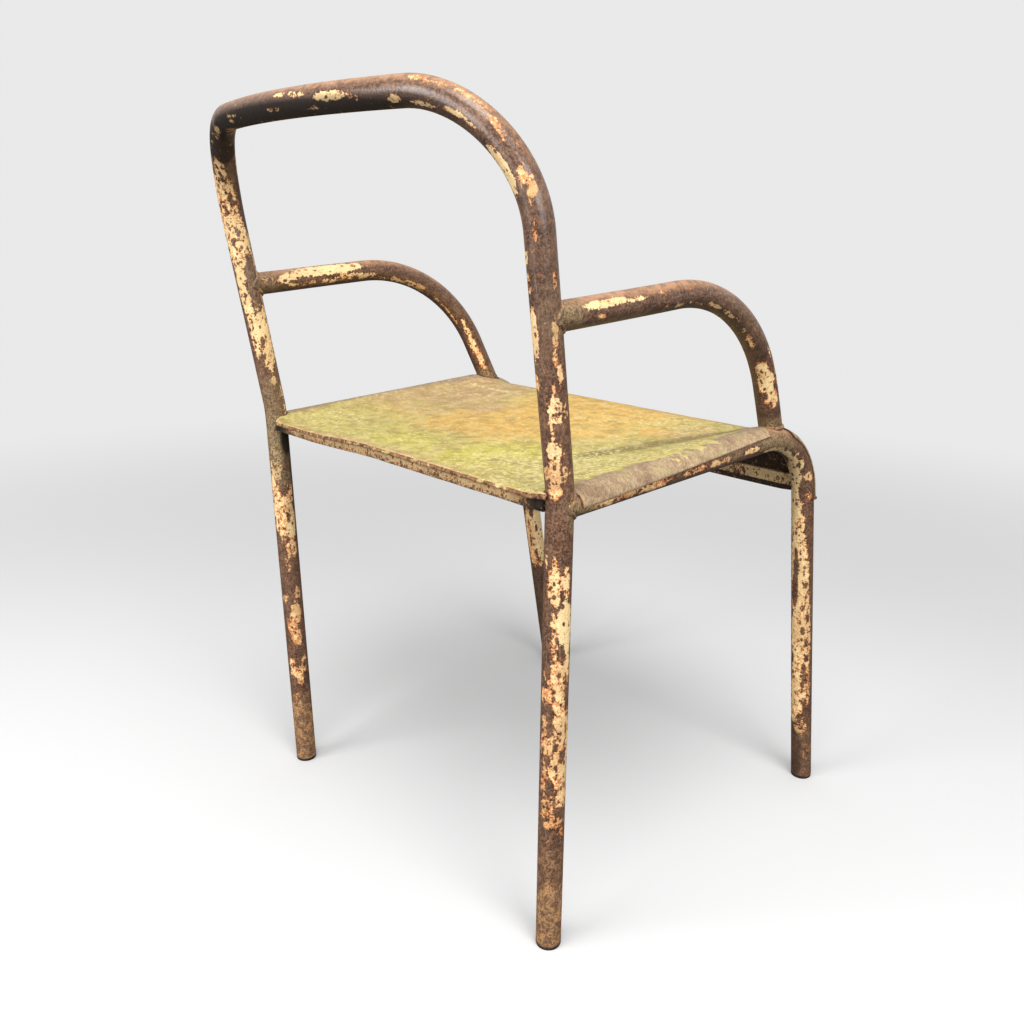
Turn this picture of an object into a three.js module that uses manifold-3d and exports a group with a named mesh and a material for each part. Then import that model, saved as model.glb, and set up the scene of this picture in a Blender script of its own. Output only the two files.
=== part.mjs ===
// Armchair of bent steel tube with a sheet steel seat, all welded together. Nothing moves.
// Millimetres, Z up, the front faces -Y and +X is the sitter's left. Reaches along Y are
// taken from the bend of the rear posts at seat height. The finished group is then centred.
import * as THREE from 'three';
import { mergeVertices } from 'three/addons/utils/BufferGeometryUtils.js';
import Module from 'manifold-3d';

// Stock and clearances
const tubeDiameter = 25;
const tubeWall = 1.5;
const sheetThickness = 1.5;
const contactGap = 0.3;

// Back frame, one tube from foot to foot over the top of the back
const rearFootHalfSpan = 226.6;
const rearFootForward = 10.9;
const kneeHalfSpan = 237.2;
const kneeHeight = 461.6;
const kneeBendRadius = 155;
const topHalfSpan = 244.6;
const topSetback = 50.3;
const topHeight = 770.1;
const topBendRadius = 101;
const topRailBow = 49.6;

// Side frames, each one tube: front leg, bend and seat rail
const frontFootHalfSpan = 229.9;
const frontFootReach = 463.3;
const legCornerHalfSpan = 234.7;
const legCornerReach = 378.5;
const legCornerHeight = 465.6;
const legBendRadius = 86.3;
const railHeightAtPost = 448;

// Arms, each one tube from the post to the seat rail
const armHeightAtPost = 604.7;
const armCornerHalfSpan = 225.8;
const armCornerReach = 248.7;
const armCornerHeight = 626.9;
const armFootHalfSpan = 228.6;
const armFootReach = 325.6;
const armBendRadius = 170.5;
const armOutwardBow = 12.2;

// Seat sheet, folded over the rails and down in front of the legs
const seatRearEdge = 14;
const seatRimRadius = 4;
const seatDishDepth = 6;
const seatDishSlope = 95;
const seatWrapDegrees = 72;
const apronBelowBend = 6;
const postNotchClearance = 3;
const armNotchClearance = 3;
const armNotchReach = 30;
const notchHeight = 60;

// Flat bars under the seat's rear edge and inside the apron
const barHeight = 14;
const barThickness = 4;
const rearBarInset = 1.8;
const rearBarEndInset = 8;
const frontBarRise = 9;

// Pressed foot plugs, worn flat where they stand
const plugHeadHeight = 6;
const plugEdgeRadius = 4;
const plugStemLength = 16;
const plugStemClearance = 0.4;
const plugWear = 1.6;

// Weld beads and tacks
const railBeadRadius = 5;
const armBeadRadius = 3.6;
const barLumpRadius = 8;
const apronTackRadius = 4.5;

// How finely curves are divided
const tubeSides = 20;
const boreSides = 12;
const kneeSteps = 3;
const topBendSteps = 10;
const topRailSteps = 6;
const legBendSteps = 10;
const armEndSteps = 3;
const armBendSteps = 9;
const wrapSteps = 5;
const dishSteps = 5;
const railSheetSteps = 3;
const rimSteps = 2;
const beadSteps = 24;
const beadSides = 8;
const lumpSides = 14;
const plugEdgeSteps = 3;

const tubeRadius = tubeDiameter / 2;
const boreRadius = tubeRadius - tubeWall;
const clearRadius = tubeRadius + contactGap;
const sides = [ [ 'left', 1 ], [ 'right', - 1 ] ];

const rustySteel = new THREE.MeshStandardMaterial( { color: 0x6a4f3e, roughness: 0.75, metalness: 0.3 } );
const creamPaint = new THREE.MeshStandardMaterial( { color: 0xe0b98a, roughness: 0.6, metalness: 0.1 } );
const mossyPaint = new THREE.MeshStandardMaterial( { color: 0xd8c888, roughness: 0.8, metalness: 0.05 } );
const weldSteel = new THREE.MeshStandardMaterial( { color: 0x4a3a2e, roughness: 0.85, metalness: 0.3 } );

const wasm = await Module();
wasm.setup();

// A path through given stations, so that an extrusion's rings fall where the bends need them
class StationPath extends THREE.Curve {

	constructor( stations ) {

		super();
		this.stations = stations;

	}

	getPoint( u, target = new THREE.Vector3() ) {

		const place = u * ( this.stations.length - 1 );
		const index = Math.min( Math.floor( place ), this.stations.length - 2 );
		return target.lerpVectors( this.stations[ index ], this.stations[ index + 1 ], place - index );

	}

	getPointAt( u, target ) {

		return this.getPoint( u, target );

	}

	getTangentAt( u, target = new THREE.Vector3() ) {

		const index = Math.round( u * ( this.stations.length - 1 ) );
		return target.copy( tangentAt( this.stations, index ) );

	}

}

function tangentAt( stations, index ) {

	const last = stations.length - 1;
	const tangent = new THREE.Vector3();
	if ( index > 0 ) tangent.add( direction( stations[ index - 1 ], stations[ index ] ) );
	if ( index < last ) tangent.add( direction( stations[ index ], stations[ index + 1 ] ) );
	return tangent.normalize();

}

function direction( from, to ) {

	return to.clone().sub( from ).normalize();

}

// A polyline with its inner corners rounded
function bentPath( corners, radii, stepCounts ) {

	const stations = [ corners[ 0 ].clone() ];
	for ( let i = 1; i < corners.length - 1; i ++ ) {

		const corner = corners[ i ];
		const back = direction( corner, corners[ i - 1 ] );
		const ahead = direction( corner, corners[ i + 1 ] );
		const halfAngle = back.angleTo( ahead ) / 2;
		const turn = Math.PI - 2 * halfAngle;
		const radius = radii[ i - 1 ];
		const inward = back.clone().add( ahead ).normalize();
		const centre = corner.clone().addScaledVector( inward, radius / Math.sin( halfAngle ) );
		const cutLength = radius / Math.tan( halfAngle );
		const first = corner.clone().addScaledVector( back, cutLength ).sub( centre );
		const second = corner.clone().addScaledVector( ahead, cutLength ).sub( centre );
		for ( let step = 0; step <= stepCounts[ i - 1 ]; step ++ ) {

			const angle = turn * step / stepCounts[ i - 1 ];
			const spoke = first.clone().multiplyScalar( Math.sin( turn - angle ) );
			spoke.addScaledVector( second, Math.sin( angle ) ).divideScalar( Math.sin( turn ) );
			stations.push( spoke.add( centre ) );

		}

	}

	stations.push( corners[ corners.length - 1 ].clone() );
	return stations;

}

function circle( radius, count ) {

	const points = [];
	for ( let i = 0; i < count; i ++ ) {

		const angle = 2 * Math.PI * i / count;
		points.push( new THREE.Vector2( radius * Math.cos( angle ), radius * Math.sin( angle ) ) );

	}

	return points;

}

// A round section along the stations, hollow when a bore is given
function roundAlong( stations, radius, bore = 0 ) {

	const section = new THREE.Shape( circle( radius, tubeSides ) );
	if ( bore > 0 ) section.holes.push( new THREE.Path( circle( bore, boreSides ) ) );
	return new THREE.ExtrudeGeometry( section, {
		steps: stations.length - 1,
		extrudePath: new StationPath( stations ),
		bevelEnabled: false,
	} );

}

function toSolid( geometry ) {

	const plain = geometry.clone();
	plain.deleteAttribute( 'normal' );
	plain.deleteAttribute( 'uv' );
	const merged = mergeVertices( plain );
	return new wasm.Manifold( new wasm.Mesh( {
		numProp: 3,
		vertProperties: new Float32Array( merged.attributes.position.array ),
		triVerts: new Uint32Array( merged.index.array ),
	} ) );

}

function toGeometry( solid ) {

	const mesh = solid.getMesh();
	const geometry = new THREE.BufferGeometry();
	geometry.setAttribute( 'position', new THREE.BufferAttribute( mesh.vertProperties, 3 ) );
	geometry.setIndex( new THREE.BufferAttribute( mesh.triVerts, 1 ) );
	geometry.computeVertexNormals();
	return geometry;

}

// The largest piece that is left of a solid after the cuts
function cutBy( solid, cutters ) {

	let rest = solid;
	for ( const cutter of cutters ) rest = rest.subtract( cutter );
	const pieces = rest.decompose();
	return pieces.reduce( ( best, piece ) => piece.volume() > best.volume() ? piece : best );

}

// Paths of the tubes

function backPath() {

	const half = bentPath( [
		new THREE.Vector3( rearFootHalfSpan, - rearFootForward, 0 ),
		new THREE.Vector3( kneeHalfSpan, 0, kneeHeight ),
		new THREE.Vector3( topHalfSpan, topSetback, topHeight ),
		new THREE.Vector3( 0, topSetback, topHeight ),
	], [ kneeBendRadius, topBendRadius ], [ kneeSteps, topBendSteps ] );
	const middle = half.pop();
	const bendEnd = half[ half.length - 1 ];
	for ( let i = 1; i < topRailSteps; i ++ ) {

		half.push( bendEnd.clone().lerp( middle, i / topRailSteps ) );

	}

	const otherHalf = half.map( point => new THREE.Vector3( - point.x, point.y, point.z ) ).reverse();
	const stations = [ ...half, middle, ...otherHalf ];
	for ( const point of stations ) {

		const bowShare = 1 - ( point.x / topHalfSpan ) ** 2;
		if ( point.z > topHeight - topBendRadius ) point.y += topRailBow * bowShare;

	}

	return stations;

}

const backStations = backPath();

function sidePath( side ) {

	return bentPath( [
		new THREE.Vector3( side * frontFootHalfSpan, - frontFootReach, 0 ),
		new THREE.Vector3( side * legCornerHalfSpan, - legCornerReach, legCornerHeight ),
		new THREE.Vector3( side * kneeHalfSpan, 0, railHeightAtPost ),
	], [ legBendRadius ], [ legBendSteps ] );

}

// Where a post's axis passes a height, and the post's direction there
function postAt( side, height ) {

	const above = backStations.findIndex( point => point.z > height );
	const low = backStations[ above - 1 ];
	const high = backStations[ above ];
	const point = low.clone().lerp( high, ( height - low.z ) / ( high.z - low.z ) );
	const along = direction( low, high );
	point.x *= side;
	along.x *= side;
	return { point, along };

}

function armPath( side ) {

	const coarse = bentPath( [
		postAt( side, armHeightAtPost ).point,
		new THREE.Vector3( side * armCornerHalfSpan, - armCornerReach, armCornerHeight ),
		new THREE.Vector3( side * armFootHalfSpan, - armFootReach, legCornerHeight ),
	], [ armBendRadius ], [ armBendSteps ] );
	const foot = coarse.pop();
	const stations = [];
	for ( let i = 0; i < armEndSteps; i ++ ) {

		stations.push( coarse[ 0 ].clone().lerp( coarse[ 1 ], i / armEndSteps ) );

	}

	const bendEnd = coarse[ coarse.length - 1 ];
	stations.push( ...coarse.slice( 1, - 1 ) );
	for ( let i = 0; i <= armEndSteps; i ++ ) {

		stations.push( bendEnd.clone().lerp( foot, i / armEndSteps ) );

	}

	const lengths = [ 0 ];
	for ( let i = 1; i < stations.length; i ++ ) {

		lengths.push( lengths[ i - 1 ] + stations[ i ].distanceTo( stations[ i - 1 ] ) );

	}

	const whole = lengths[ lengths.length - 1 ];
	stations.forEach( ( point, i ) => {

		point.x += side * armOutwardBow * Math.sin( Math.PI * lengths[ i ] / whole );

	} );
	return stations;

}

// Solid rods along the tubes, which cope the tube ends and cut the sheet and the beads

const backRod = toSolid( roundAlong( backStations, clearRadius ) );
const sideRods = {};
const armRods = {};
for ( const [ name, side ] of sides ) {

	sideRods[ name ] = toSolid( roundAlong( sidePath( side ), clearRadius ) );
	armRods[ name ] = toSolid( roundAlong( armPath( side ), clearRadius ) );

}

// A tube that stands on a plug starts above the plug's head
function raisedOnPlug( stations ) {

	const raised = stations.map( point => point.clone() );
	const lift = plugHeadHeight + contactGap;
	const upward = direction( stations[ 0 ], stations[ 1 ] );
	raised[ 0 ].addScaledVector( upward, lift / upward.z );
	return raised;

}

function backFrameTube() {

	const oneFoot = raisedOnPlug( backStations );
	const bothFeet = raisedOnPlug( oneFoot.reverse() );
	return toGeometry( toSolid( roundAlong( bothFeet, tubeRadius, boreRadius ) ) );

}

function sideTube( side ) {

	const tube = toSolid( roundAlong( raisedOnPlug( sidePath( side ) ), tubeRadius, boreRadius ) );
	return toGeometry( cutBy( tube, [ backRod ] ) );

}

function armTube( name, side ) {

	const tube = toSolid( roundAlong( armPath( side ), tubeRadius, boreRadius ) );
	return toGeometry( cutBy( tube, [ backRod, sideRods[ name ] ] ) );

}

// The plug's head carries the tube, its stem sits in the bore and the floor has worn it flat
function footPlug( stations ) {

	const upward = direction( stations[ 0 ], stations[ 1 ] );
	const headTop = plugHeadHeight / upward.z;
	const outline = [ new THREE.Vector2( 0, - plugWear ) ];
	for ( let i = 0; i <= plugEdgeSteps; i ++ ) {

		const angle = Math.PI / 2 * i / plugEdgeSteps;
		outline.push( new THREE.Vector2(
			tubeRadius - plugEdgeRadius * ( 1 - Math.sin( angle ) ),
			- plugWear + plugEdgeRadius * ( 1 - Math.cos( angle ) ),
		) );

	}

	const stemRadius = boreRadius - plugStemClearance;
	outline.push(
		new THREE.Vector2( tubeRadius, headTop ),
		new THREE.Vector2( stemRadius, headTop ),
		new THREE.Vector2( stemRadius, headTop + plugStemLength ),
		new THREE.Vector2( 0, headTop + plugStemLength ),
	);
	const lathe = new THREE.LatheGeometry( outline, tubeSides );
	lathe.rotateX( Math.PI / 2 );
	const turn = new THREE.Quaternion().setFromUnitVectors( new THREE.Vector3( 0, 0, 1 ), upward );
	lathe.applyQuaternion( turn );
	lathe.translate( stations[ 0 ].x, stations[ 0 ].y, stations[ 0 ].z );
	const underFloor = new THREE.BoxGeometry( 2 * tubeDiameter, 2 * tubeDiameter, tubeDiameter );
	underFloor.translate( stations[ 0 ].x, stations[ 0 ].y, - tubeDiameter / 2 );
	return toGeometry( cutBy( toSolid( lathe ), [ toSolid( underFloor ) ] ) );

}

// The seat sheet follows the rails and leg bends. Each station has the point of the rail's
// axis and the outward direction of its upper side, both for the sitter's left rail.
function seatStations() {

	const rail = sidePath( 1 );
	const alongLeg = direction( rail[ 1 ], rail[ 0 ] );
	const apronEnd = rail[ 1 ].clone().addScaledVector( alongLeg, apronBelowBend );
	const alongRail = direction( rail[ rail.length - 2 ], rail[ rail.length - 1 ] );
	const rearEdge = rail[ rail.length - 1 ].clone();
	rearEdge.addScaledVector( alongRail, ( seatRearEdge - seatRimRadius ) / alongRail.y );
	const bend = rail.slice( 1, - 1 );
	const bendEnd = bend[ bend.length - 1 ];
	const points = [ apronEnd, ...bend ];
	for ( let i = 1; i <= railSheetSteps; i ++ ) {

		points.push( bendEnd.clone().lerp( rearEdge, i / railSheetSteps ) );

	}

	return points.map( ( point, i ) => {

		const along = tangentAt( points, i );
		const across = new THREE.Vector3( 1, 0, 0 );
		return { point, along, outward: across.cross( along ).normalize() };

	} );

}

// One row of places on the sheet, from the left lip over the pan to the right lip. The
// places lie on the rails' own surface, and offsets along the normals give the two faces.
function seatRow( { point, along, outward } ) {

	const half = [];
	for ( let i = 0; i <= wrapSteps; i ++ ) {

		const angle = THREE.MathUtils.degToRad( seatWrapDegrees ) * ( 1 - i / wrapSteps );
		const normal = outward.clone().multiplyScalar( Math.cos( angle ) );
		normal.x += Math.sin( angle );
		half.push( { place: point.clone().addScaledVector( normal, tubeRadius ), normal, along } );

	}

	for ( let i = 1; i <= dishSteps; i ++ ) {

		const share = i / dishSteps;
		const sink = seatDishDepth * share * share * ( 3 - 2 * share );
		const slope = seatDishDepth * 6 * share * ( 1 - share ) / seatDishSlope;
		const place = point.clone().addScaledVector( outward, tubeRadius - sink );
		place.x -= seatDishSlope * share;
		const normal = outward.clone();
		normal.x -= slope;
		half.push( { place, normal: normal.normalize(), along } );

	}

	const middle = point.clone().addScaledVector( outward, tubeRadius - seatDishDepth );
	middle.x = 0;
	const mirrored = half.map( cell => ( {
		place: new THREE.Vector3( - cell.place.x, cell.place.y, cell.place.z ),
		normal: new THREE.Vector3( - cell.normal.x, cell.normal.y, cell.normal.z ),
		along,
	} ) ).reverse();
	return [ ...half, { place: middle, normal: outward, along }, ...mirrored ];

}

function seatRows() {

	const rows = seatStations().map( seatRow );
	const lastRow = rows[ rows.length - 1 ];
	for ( let i = 1; i <= rimSteps; i ++ ) {

		const angle = Math.PI / 2 * i / rimSteps;
		rows.push( lastRow.map( ( { place, normal, along } ) => {

			const turned = normal.clone().multiplyScalar( Math.cos( angle ) );
			turned.addScaledVector( along, Math.sin( angle ) );
			const moved = place.clone().addScaledVector( normal, - seatRimRadius );
			return { place: moved.addScaledVector( turned, seatRimRadius ), normal: turned, along };

		} ) );

	}

	return rows;

}

// A closed shell between two offsets from the rows' surface
function shellOf( rows, inside, outside ) {

	const columns = rows[ 0 ].length;
	const layers = [ outside, inside ].map( offset => rows.flat().map(
		( { place, normal } ) => place.clone().addScaledVector( normal, offset ) ) );
	const positions = [];
	const face = ( a, b, c, d ) => {

		for ( const corner of [ a, b, c, a, c, d ] ) positions.push( corner.x, corner.y, corner.z );

	};

	const at = ( layer, row, column ) => layers[ layer ][ row * columns + column ];
	for ( let r = 0; r < rows.length - 1; r ++ ) {

		for ( let c = 0; c < columns - 1; c ++ ) {

			face( at( 0, r, c ), at( 0, r + 1, c ), at( 0, r + 1, c + 1 ), at( 0, r, c + 1 ) );
			face( at( 1, r, c ), at( 1, r, c + 1 ), at( 1, r + 1, c + 1 ), at( 1, r + 1, c ) );

		}

		const end = columns - 1;
		face( at( 1, r, 0 ), at( 1, r + 1, 0 ), at( 0, r + 1, 0 ), at( 0, r, 0 ) );
		face( at( 0, r, end ), at( 0, r + 1, end ), at( 1, r + 1, end ), at( 1, r, end ) );

	}

	const bottom = rows.length - 1;
	for ( let c = 0; c < columns - 1; c ++ ) {

		face( at( 0, 0, c ), at( 0, 0, c + 1 ), at( 1, 0, c + 1 ), at( 1, 0, c ) );
		face( at( 1, bottom, c ), at( 1, bottom, c + 1 ), at( 0, bottom, c + 1 ), at( 0, bottom, c ) );

	}

	const geometry = new THREE.BufferGeometry();
	geometry.setAttribute( 'position', new THREE.Float32BufferAttribute( positions, 3 ) );
	return toSolid( geometry );

}

// The sheet is notched round each post and, from its edge inwards, round each arm's foot
function seatNotches( margin ) {

	const postRadius = tubeRadius + postNotchClearance - margin;
	const armRadius = tubeRadius + armNotchClearance - margin;
	const cutters = [ toSolid( roundAlong( backStations, postRadius ) ) ];
	for ( const [ , side ] of sides ) {

		const behindPost = new THREE.BoxGeometry( 2 * tubeDiameter, 2 * postRadius + seatRearEdge, notchHeight );
		behindPost.translate(
			side * ( kneeHalfSpan - tubeRadius / 2 + tubeDiameter ), seatRearEdge / 2, railHeightAtPost );
		cutters.push( toSolid( behindPost ) );
		const arm = armPath( side );
		const foot = arm[ arm.length - 1 ];
		const upward = direction( foot, arm[ arm.length - 2 ] );
		const turn = new THREE.Quaternion().setFromUnitVectors( new THREE.Vector3( 0, 0, 1 ), upward );
		const slot = new THREE.BoxGeometry( armNotchReach, 2 * armRadius, notchHeight );
		const round = new THREE.CylinderGeometry( armRadius, armRadius, notchHeight, tubeSides );
		slot.translate( side * armNotchReach / 2, 0, 0 );
		round.rotateX( Math.PI / 2 );
		for ( const piece of [ slot, round ] ) {

			piece.applyQuaternion( turn );
			piece.translate( foot.x, foot.y, foot.z );
			cutters.push( toSolid( piece ) );

		}

	}

	return cutters;

}

function seatBody( margin ) {

	const shell = shellOf( seatRows(), contactGap - margin, contactGap + sheetThickness + margin );
	return cutBy( shell, seatNotches( margin ) );

}

const seatSolid = seatBody( 0 );
const seatCutter = seatBody( contactGap );

function barBox( length ) {

	return new THREE.BoxGeometry( length, barThickness, barHeight );

}

// The rear bar stands on edge between the posts, its top just under the sheet's pan
function rearBar() {

	const bar = barBox( 2 * ( kneeHalfSpan - rearBarEndInset ) );
	const outerFace = seatRearEdge - rearBarInset;
	const railDrop = ( legCornerHeight - railHeightAtPost ) / legCornerReach;
	const panUnderside = railHeightAtPost - railDrop * outerFace + tubeRadius - seatDishDepth;
	bar.translate( 0, outerFace - barThickness / 2, panUnderside - barHeight / 2 );
	return cutBy( toSolid( bar ), [ backRod, seatCutter ] );

}

// The front bar lies against the apron's inner face, between the legs
function frontBar() {

	const [ apronEnd ] = seatStations();
	const bar = barBox( 2 * legCornerHalfSpan );
	bar.translate( 0, tubeRadius - seatDishDepth - barThickness / 2, barHeight / 2 + frontBarRise );
	bar.applyMatrix4( new THREE.Matrix4().makeBasis(
		new THREE.Vector3( - 1, 0, 0 ), apronEnd.outward, apronEnd.along ) );
	bar.translate( 0, apronEnd.point.y, apronEnd.point.z );
	return cutBy( toSolid( bar ), [ sideRods.left, sideRods.right, seatCutter ] );

}

// A bead along the line where a branch tube meets the tube that carries it
function saddleBead( carrierPoint, carrierAlong, branchPoint, branchAlong, beadRadius ) {

	const first = new THREE.Vector3( 1, 0, 0 ).cross( branchAlong ).normalize();
	const second = branchAlong.clone().cross( first );
	const points = [];
	for ( let i = 0; i < beadSteps; i ++ ) {

		const angle = 2 * Math.PI * i / beadSteps;
		const start = branchPoint.clone().addScaledVector( first, tubeRadius * Math.cos( angle ) );
		start.addScaledVector( second, tubeRadius * Math.sin( angle ) );
		const away = start.clone().sub( carrierPoint );
		away.addScaledVector( carrierAlong, - away.dot( carrierAlong ) );
		const step = branchAlong.clone().addScaledVector( carrierAlong, - branchAlong.dot( carrierAlong ) );
		const a = step.lengthSq();
		const b = away.dot( step );
		const c = away.lengthSq() - tubeRadius ** 2;
		const reach = ( - b + Math.sqrt( Math.max( b * b - a * c, 0 ) ) ) / a;
		points.push( start.addScaledVector( branchAlong, reach ) );

	}

	const ring = new THREE.CatmullRomCurve3( points, true );
	return toSolid( new THREE.TubeGeometry( ring, beadSteps, beadRadius, beadSides, true ) );

}

function railBead( side, beadRadius ) {

	const rail = sidePath( side );
	const post = postAt( side, railHeightAtPost );
	const railAlong = direction( rail[ rail.length - 1 ], rail[ rail.length - 2 ] );
	return saddleBead( post.point, post.along, rail[ rail.length - 1 ], railAlong, beadRadius );

}

function railWeld( name, side ) {

	return cutBy( railBead( side, railBeadRadius ), [ backRod, sideRods[ name ], seatCutter ] );

}

function armPostWeld( name, side ) {

	const arm = armPath( side );
	const post = postAt( side, armHeightAtPost );
	const bead = saddleBead( arm[ 0 ], post.along, arm[ 0 ], direction( arm[ 0 ], arm[ 1 ] ), armBeadRadius );
	return cutBy( bead, [ backRod, armRods[ name ] ] );

}

function armSeatWeld( name, side ) {

	const arm = armPath( side );
	const foot = arm[ arm.length - 1 ];
	const rail = sidePath( side );
	const bendEnd = rail[ rail.length - 2 ];
	const railAlong = direction( bendEnd, rail[ rail.length - 1 ] );
	const nearest = bendEnd.clone().addScaledVector( railAlong, foot.clone().sub( bendEnd ).dot( railAlong ) );
	const bead = saddleBead( nearest, railAlong, foot, direction( foot, arm[ arm.length - 2 ] ), armBeadRadius );
	return cutBy( bead, [ sideRods[ name ], armRods[ name ], seatCutter ] );

}

function lump( place, radius ) {

	const ball = new THREE.SphereGeometry( radius, lumpSides, lumpSides / 2 );
	ball.translate( place.x, place.y, place.z );
	return toSolid( ball );

}

const rearBarSolid = rearBar();
const frontBarSolid = frontBar();

// What is left of a bar, grown by the gap on every side, as a cutter for its welds
function grown( solid ) {

	const box = solid.boundingBox();
	const low = new THREE.Vector3( ...box.min );
	const high = new THREE.Vector3( ...box.max );
	const size = high.clone().sub( low ).addScalar( 2 * contactGap );
	const centre = low.add( high ).multiplyScalar( 1 / 2 );
	const block = new THREE.BoxGeometry( size.x, size.y, size.z );
	block.translate( centre.x, centre.y, centre.z );
	return toSolid( block );

}

function rearBarWeld( side ) {

	const box = rearBarSolid.boundingBox();
	const place = new THREE.Vector3( side * ( kneeHalfSpan - tubeRadius ),
		( box.min[ 1 ] + box.max[ 1 ] ) / 2, ( box.min[ 2 ] + box.max[ 2 ] ) / 2 );
	const bead = railBead( side, railBeadRadius + contactGap );
	return cutBy( lump( place, barLumpRadius ), [ backRod, grown( rearBarSolid ), seatCutter, bead ] );

}

function frontBarWeld( name, side ) {

	const box = frontBarSolid.boundingBox();
	const place = new THREE.Vector3( side * box.max[ 0 ],
		( box.min[ 1 ] + box.max[ 1 ] ) / 2, ( box.min[ 2 ] + box.max[ 2 ] ) / 2 );
	return cutBy( lump( place, barLumpRadius ), [ sideRods[ name ], grown( frontBarSolid ), seatCutter ] );

}

// A tack at each lower corner of the apron, where the sheet's edge meets the leg
function apronTack( name, side ) {

	const [ apronEnd ] = seatStations();
	const angle = THREE.MathUtils.degToRad( seatWrapDegrees );
	const place = apronEnd.point.clone();
	place.addScaledVector( apronEnd.outward, tubeRadius * Math.cos( angle ) );
	place.x = side * ( place.x + tubeRadius * Math.sin( angle ) );
	return cutBy( lump( place, apronTackRadius ), [ sideRods[ name ], seatCutter ] );

}

// The chair

const chair = new THREE.Group();

function addPiece( name, geometry, material ) {

	const mesh = new THREE.Mesh( geometry, material );
	mesh.name = name;
	chair.add( mesh );

}

addPiece( 'back_frame_tube', backFrameTube(), rustySteel );
addPiece( 'seat_plate', toGeometry( seatSolid ), mossyPaint );
addPiece( 'rear_seat_bar', toGeometry( rearBarSolid ), creamPaint );
addPiece( 'front_seat_bar', toGeometry( frontBarSolid ), creamPaint );
for ( const [ name, side ] of sides ) {

	const rearFoot = side > 0 ? backStations : [ ...backStations ].reverse();
	addPiece( `side_tube_${ name }`, sideTube( side ), rustySteel );
	addPiece( `arm_tube_${ name }`, armTube( name, side ), rustySteel );
	addPiece( `rear_foot_plug_${ name }`, footPlug( rearFoot ), rustySteel );
	addPiece( `front_foot_plug_${ name }`, footPlug( sidePath( side ) ), rustySteel );
	addPiece( `rail_weld_${ name }`, toGeometry( railWeld( name, side ) ), weldSteel );
	addPiece( `arm_post_weld_${ name }`, toGeometry( armPostWeld( name, side ) ), weldSteel );
	addPiece( `arm_seat_weld_${ name }`, toGeometry( armSeatWeld( name, side ) ), weldSteel );
	addPiece( `rear_bar_weld_${ name }`, toGeometry( rearBarWeld( side ) ), weldSteel );
	addPiece( `front_bar_weld_${ name }`, toGeometry( frontBarWeld( name, side ) ), weldSteel );
	addPiece( `apron_weld_${ name }`, toGeometry( apronTack( name, side ) ), weldSteel );

}

// The origin lies on the floor under the middle of the chair's bounding box
const extent = new THREE.Box3().setFromObject( chair );
chair.position.y = - ( extent.min.y + extent.max.y ) / 2;

export default chair;
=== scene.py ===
"""Armchair of bent steel tube with a sheet steel seat, its old paint flaking off the metal.

The chair is one welded piece and nothing on it moves. Lengths are in metres, Z is up, the
front faces -Y and +X is the sitter's left.
"""

import math
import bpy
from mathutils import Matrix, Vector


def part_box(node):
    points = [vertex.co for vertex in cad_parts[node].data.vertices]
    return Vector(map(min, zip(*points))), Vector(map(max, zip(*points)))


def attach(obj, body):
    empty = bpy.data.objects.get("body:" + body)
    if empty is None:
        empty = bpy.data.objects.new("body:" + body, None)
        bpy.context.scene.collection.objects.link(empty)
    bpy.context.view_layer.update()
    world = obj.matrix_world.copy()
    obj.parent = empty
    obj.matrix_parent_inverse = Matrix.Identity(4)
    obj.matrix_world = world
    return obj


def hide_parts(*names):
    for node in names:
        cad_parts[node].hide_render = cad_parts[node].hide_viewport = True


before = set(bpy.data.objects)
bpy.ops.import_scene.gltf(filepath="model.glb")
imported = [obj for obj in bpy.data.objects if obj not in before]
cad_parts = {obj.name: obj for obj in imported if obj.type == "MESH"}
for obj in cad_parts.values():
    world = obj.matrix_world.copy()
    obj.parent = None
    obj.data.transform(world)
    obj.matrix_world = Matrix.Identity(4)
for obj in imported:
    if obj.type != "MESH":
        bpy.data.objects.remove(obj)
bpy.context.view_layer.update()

from types import SimpleNamespace

import bmesh
import bpy
from bpy.props import FloatProperty, FloatVectorProperty, IntProperty, PointerProperty
from mathutils import Matrix, Vector, noise

bl_info = {
    "name": "Welded Tube Armchair",
    "version": (1, 0, 0),
    "blender": (4, 5, 0),
    "location": "3D View > Sidebar > Armchair",
    "description": "Makes a weathered armchair of bent steel tube with a sheet steel seat",
    "category": "Add Mesh",
}

SIDES = {"left": 1, "right": -1}


def from_srgb(red, green, blue):
    """A colour as a shader takes it, from its 0 to 255 screen values."""
    linear = []
    for value in (red, green, blue):
        share = value / 255
        linear.append(share / 12.92 if share <= 0.04045 else ((share + 0.055) / 1.055) ** 2.4)
    return tuple(linear)


# Sizes and colours

def metres(title, meaning, default):
    return FloatProperty(name=title, description=meaning, default=default, unit="LENGTH")


def degrees_round(title, meaning, default):
    return FloatProperty(
        name=title, description=meaning, default=math.radians(default), subtype="ANGLE")


def watts(title, meaning, default):
    return FloatProperty(name=title, description=meaning, default=default, unit="POWER")


def screen_colour(title, meaning, red, green, blue):
    return FloatVectorProperty(
        name=title, description=meaning, default=from_srgb(red, green, blue),
        subtype="COLOR", size=3)


class StockSizes(bpy.types.PropertyGroup):
    """Tube and sheet that the chair is made of."""

    tube_radius: metres("Tube radius", "Outside radius of every tube, inside the frame's box", 0.01235)
    sheet_thickness: metres("Sheet thickness", "Thickness of the seat sheet", 0.0015)
    sheet_gap: metres("Sheet gap", "Space between the sheet and the tube under it", 0.0003)
    tube_sides: IntProperty(
        name="Tube sides", description="Faces round each tube", default=40)
    spacing: metres("Ring spacing", "Distance between the rings of a tube", 0.0025)


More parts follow.
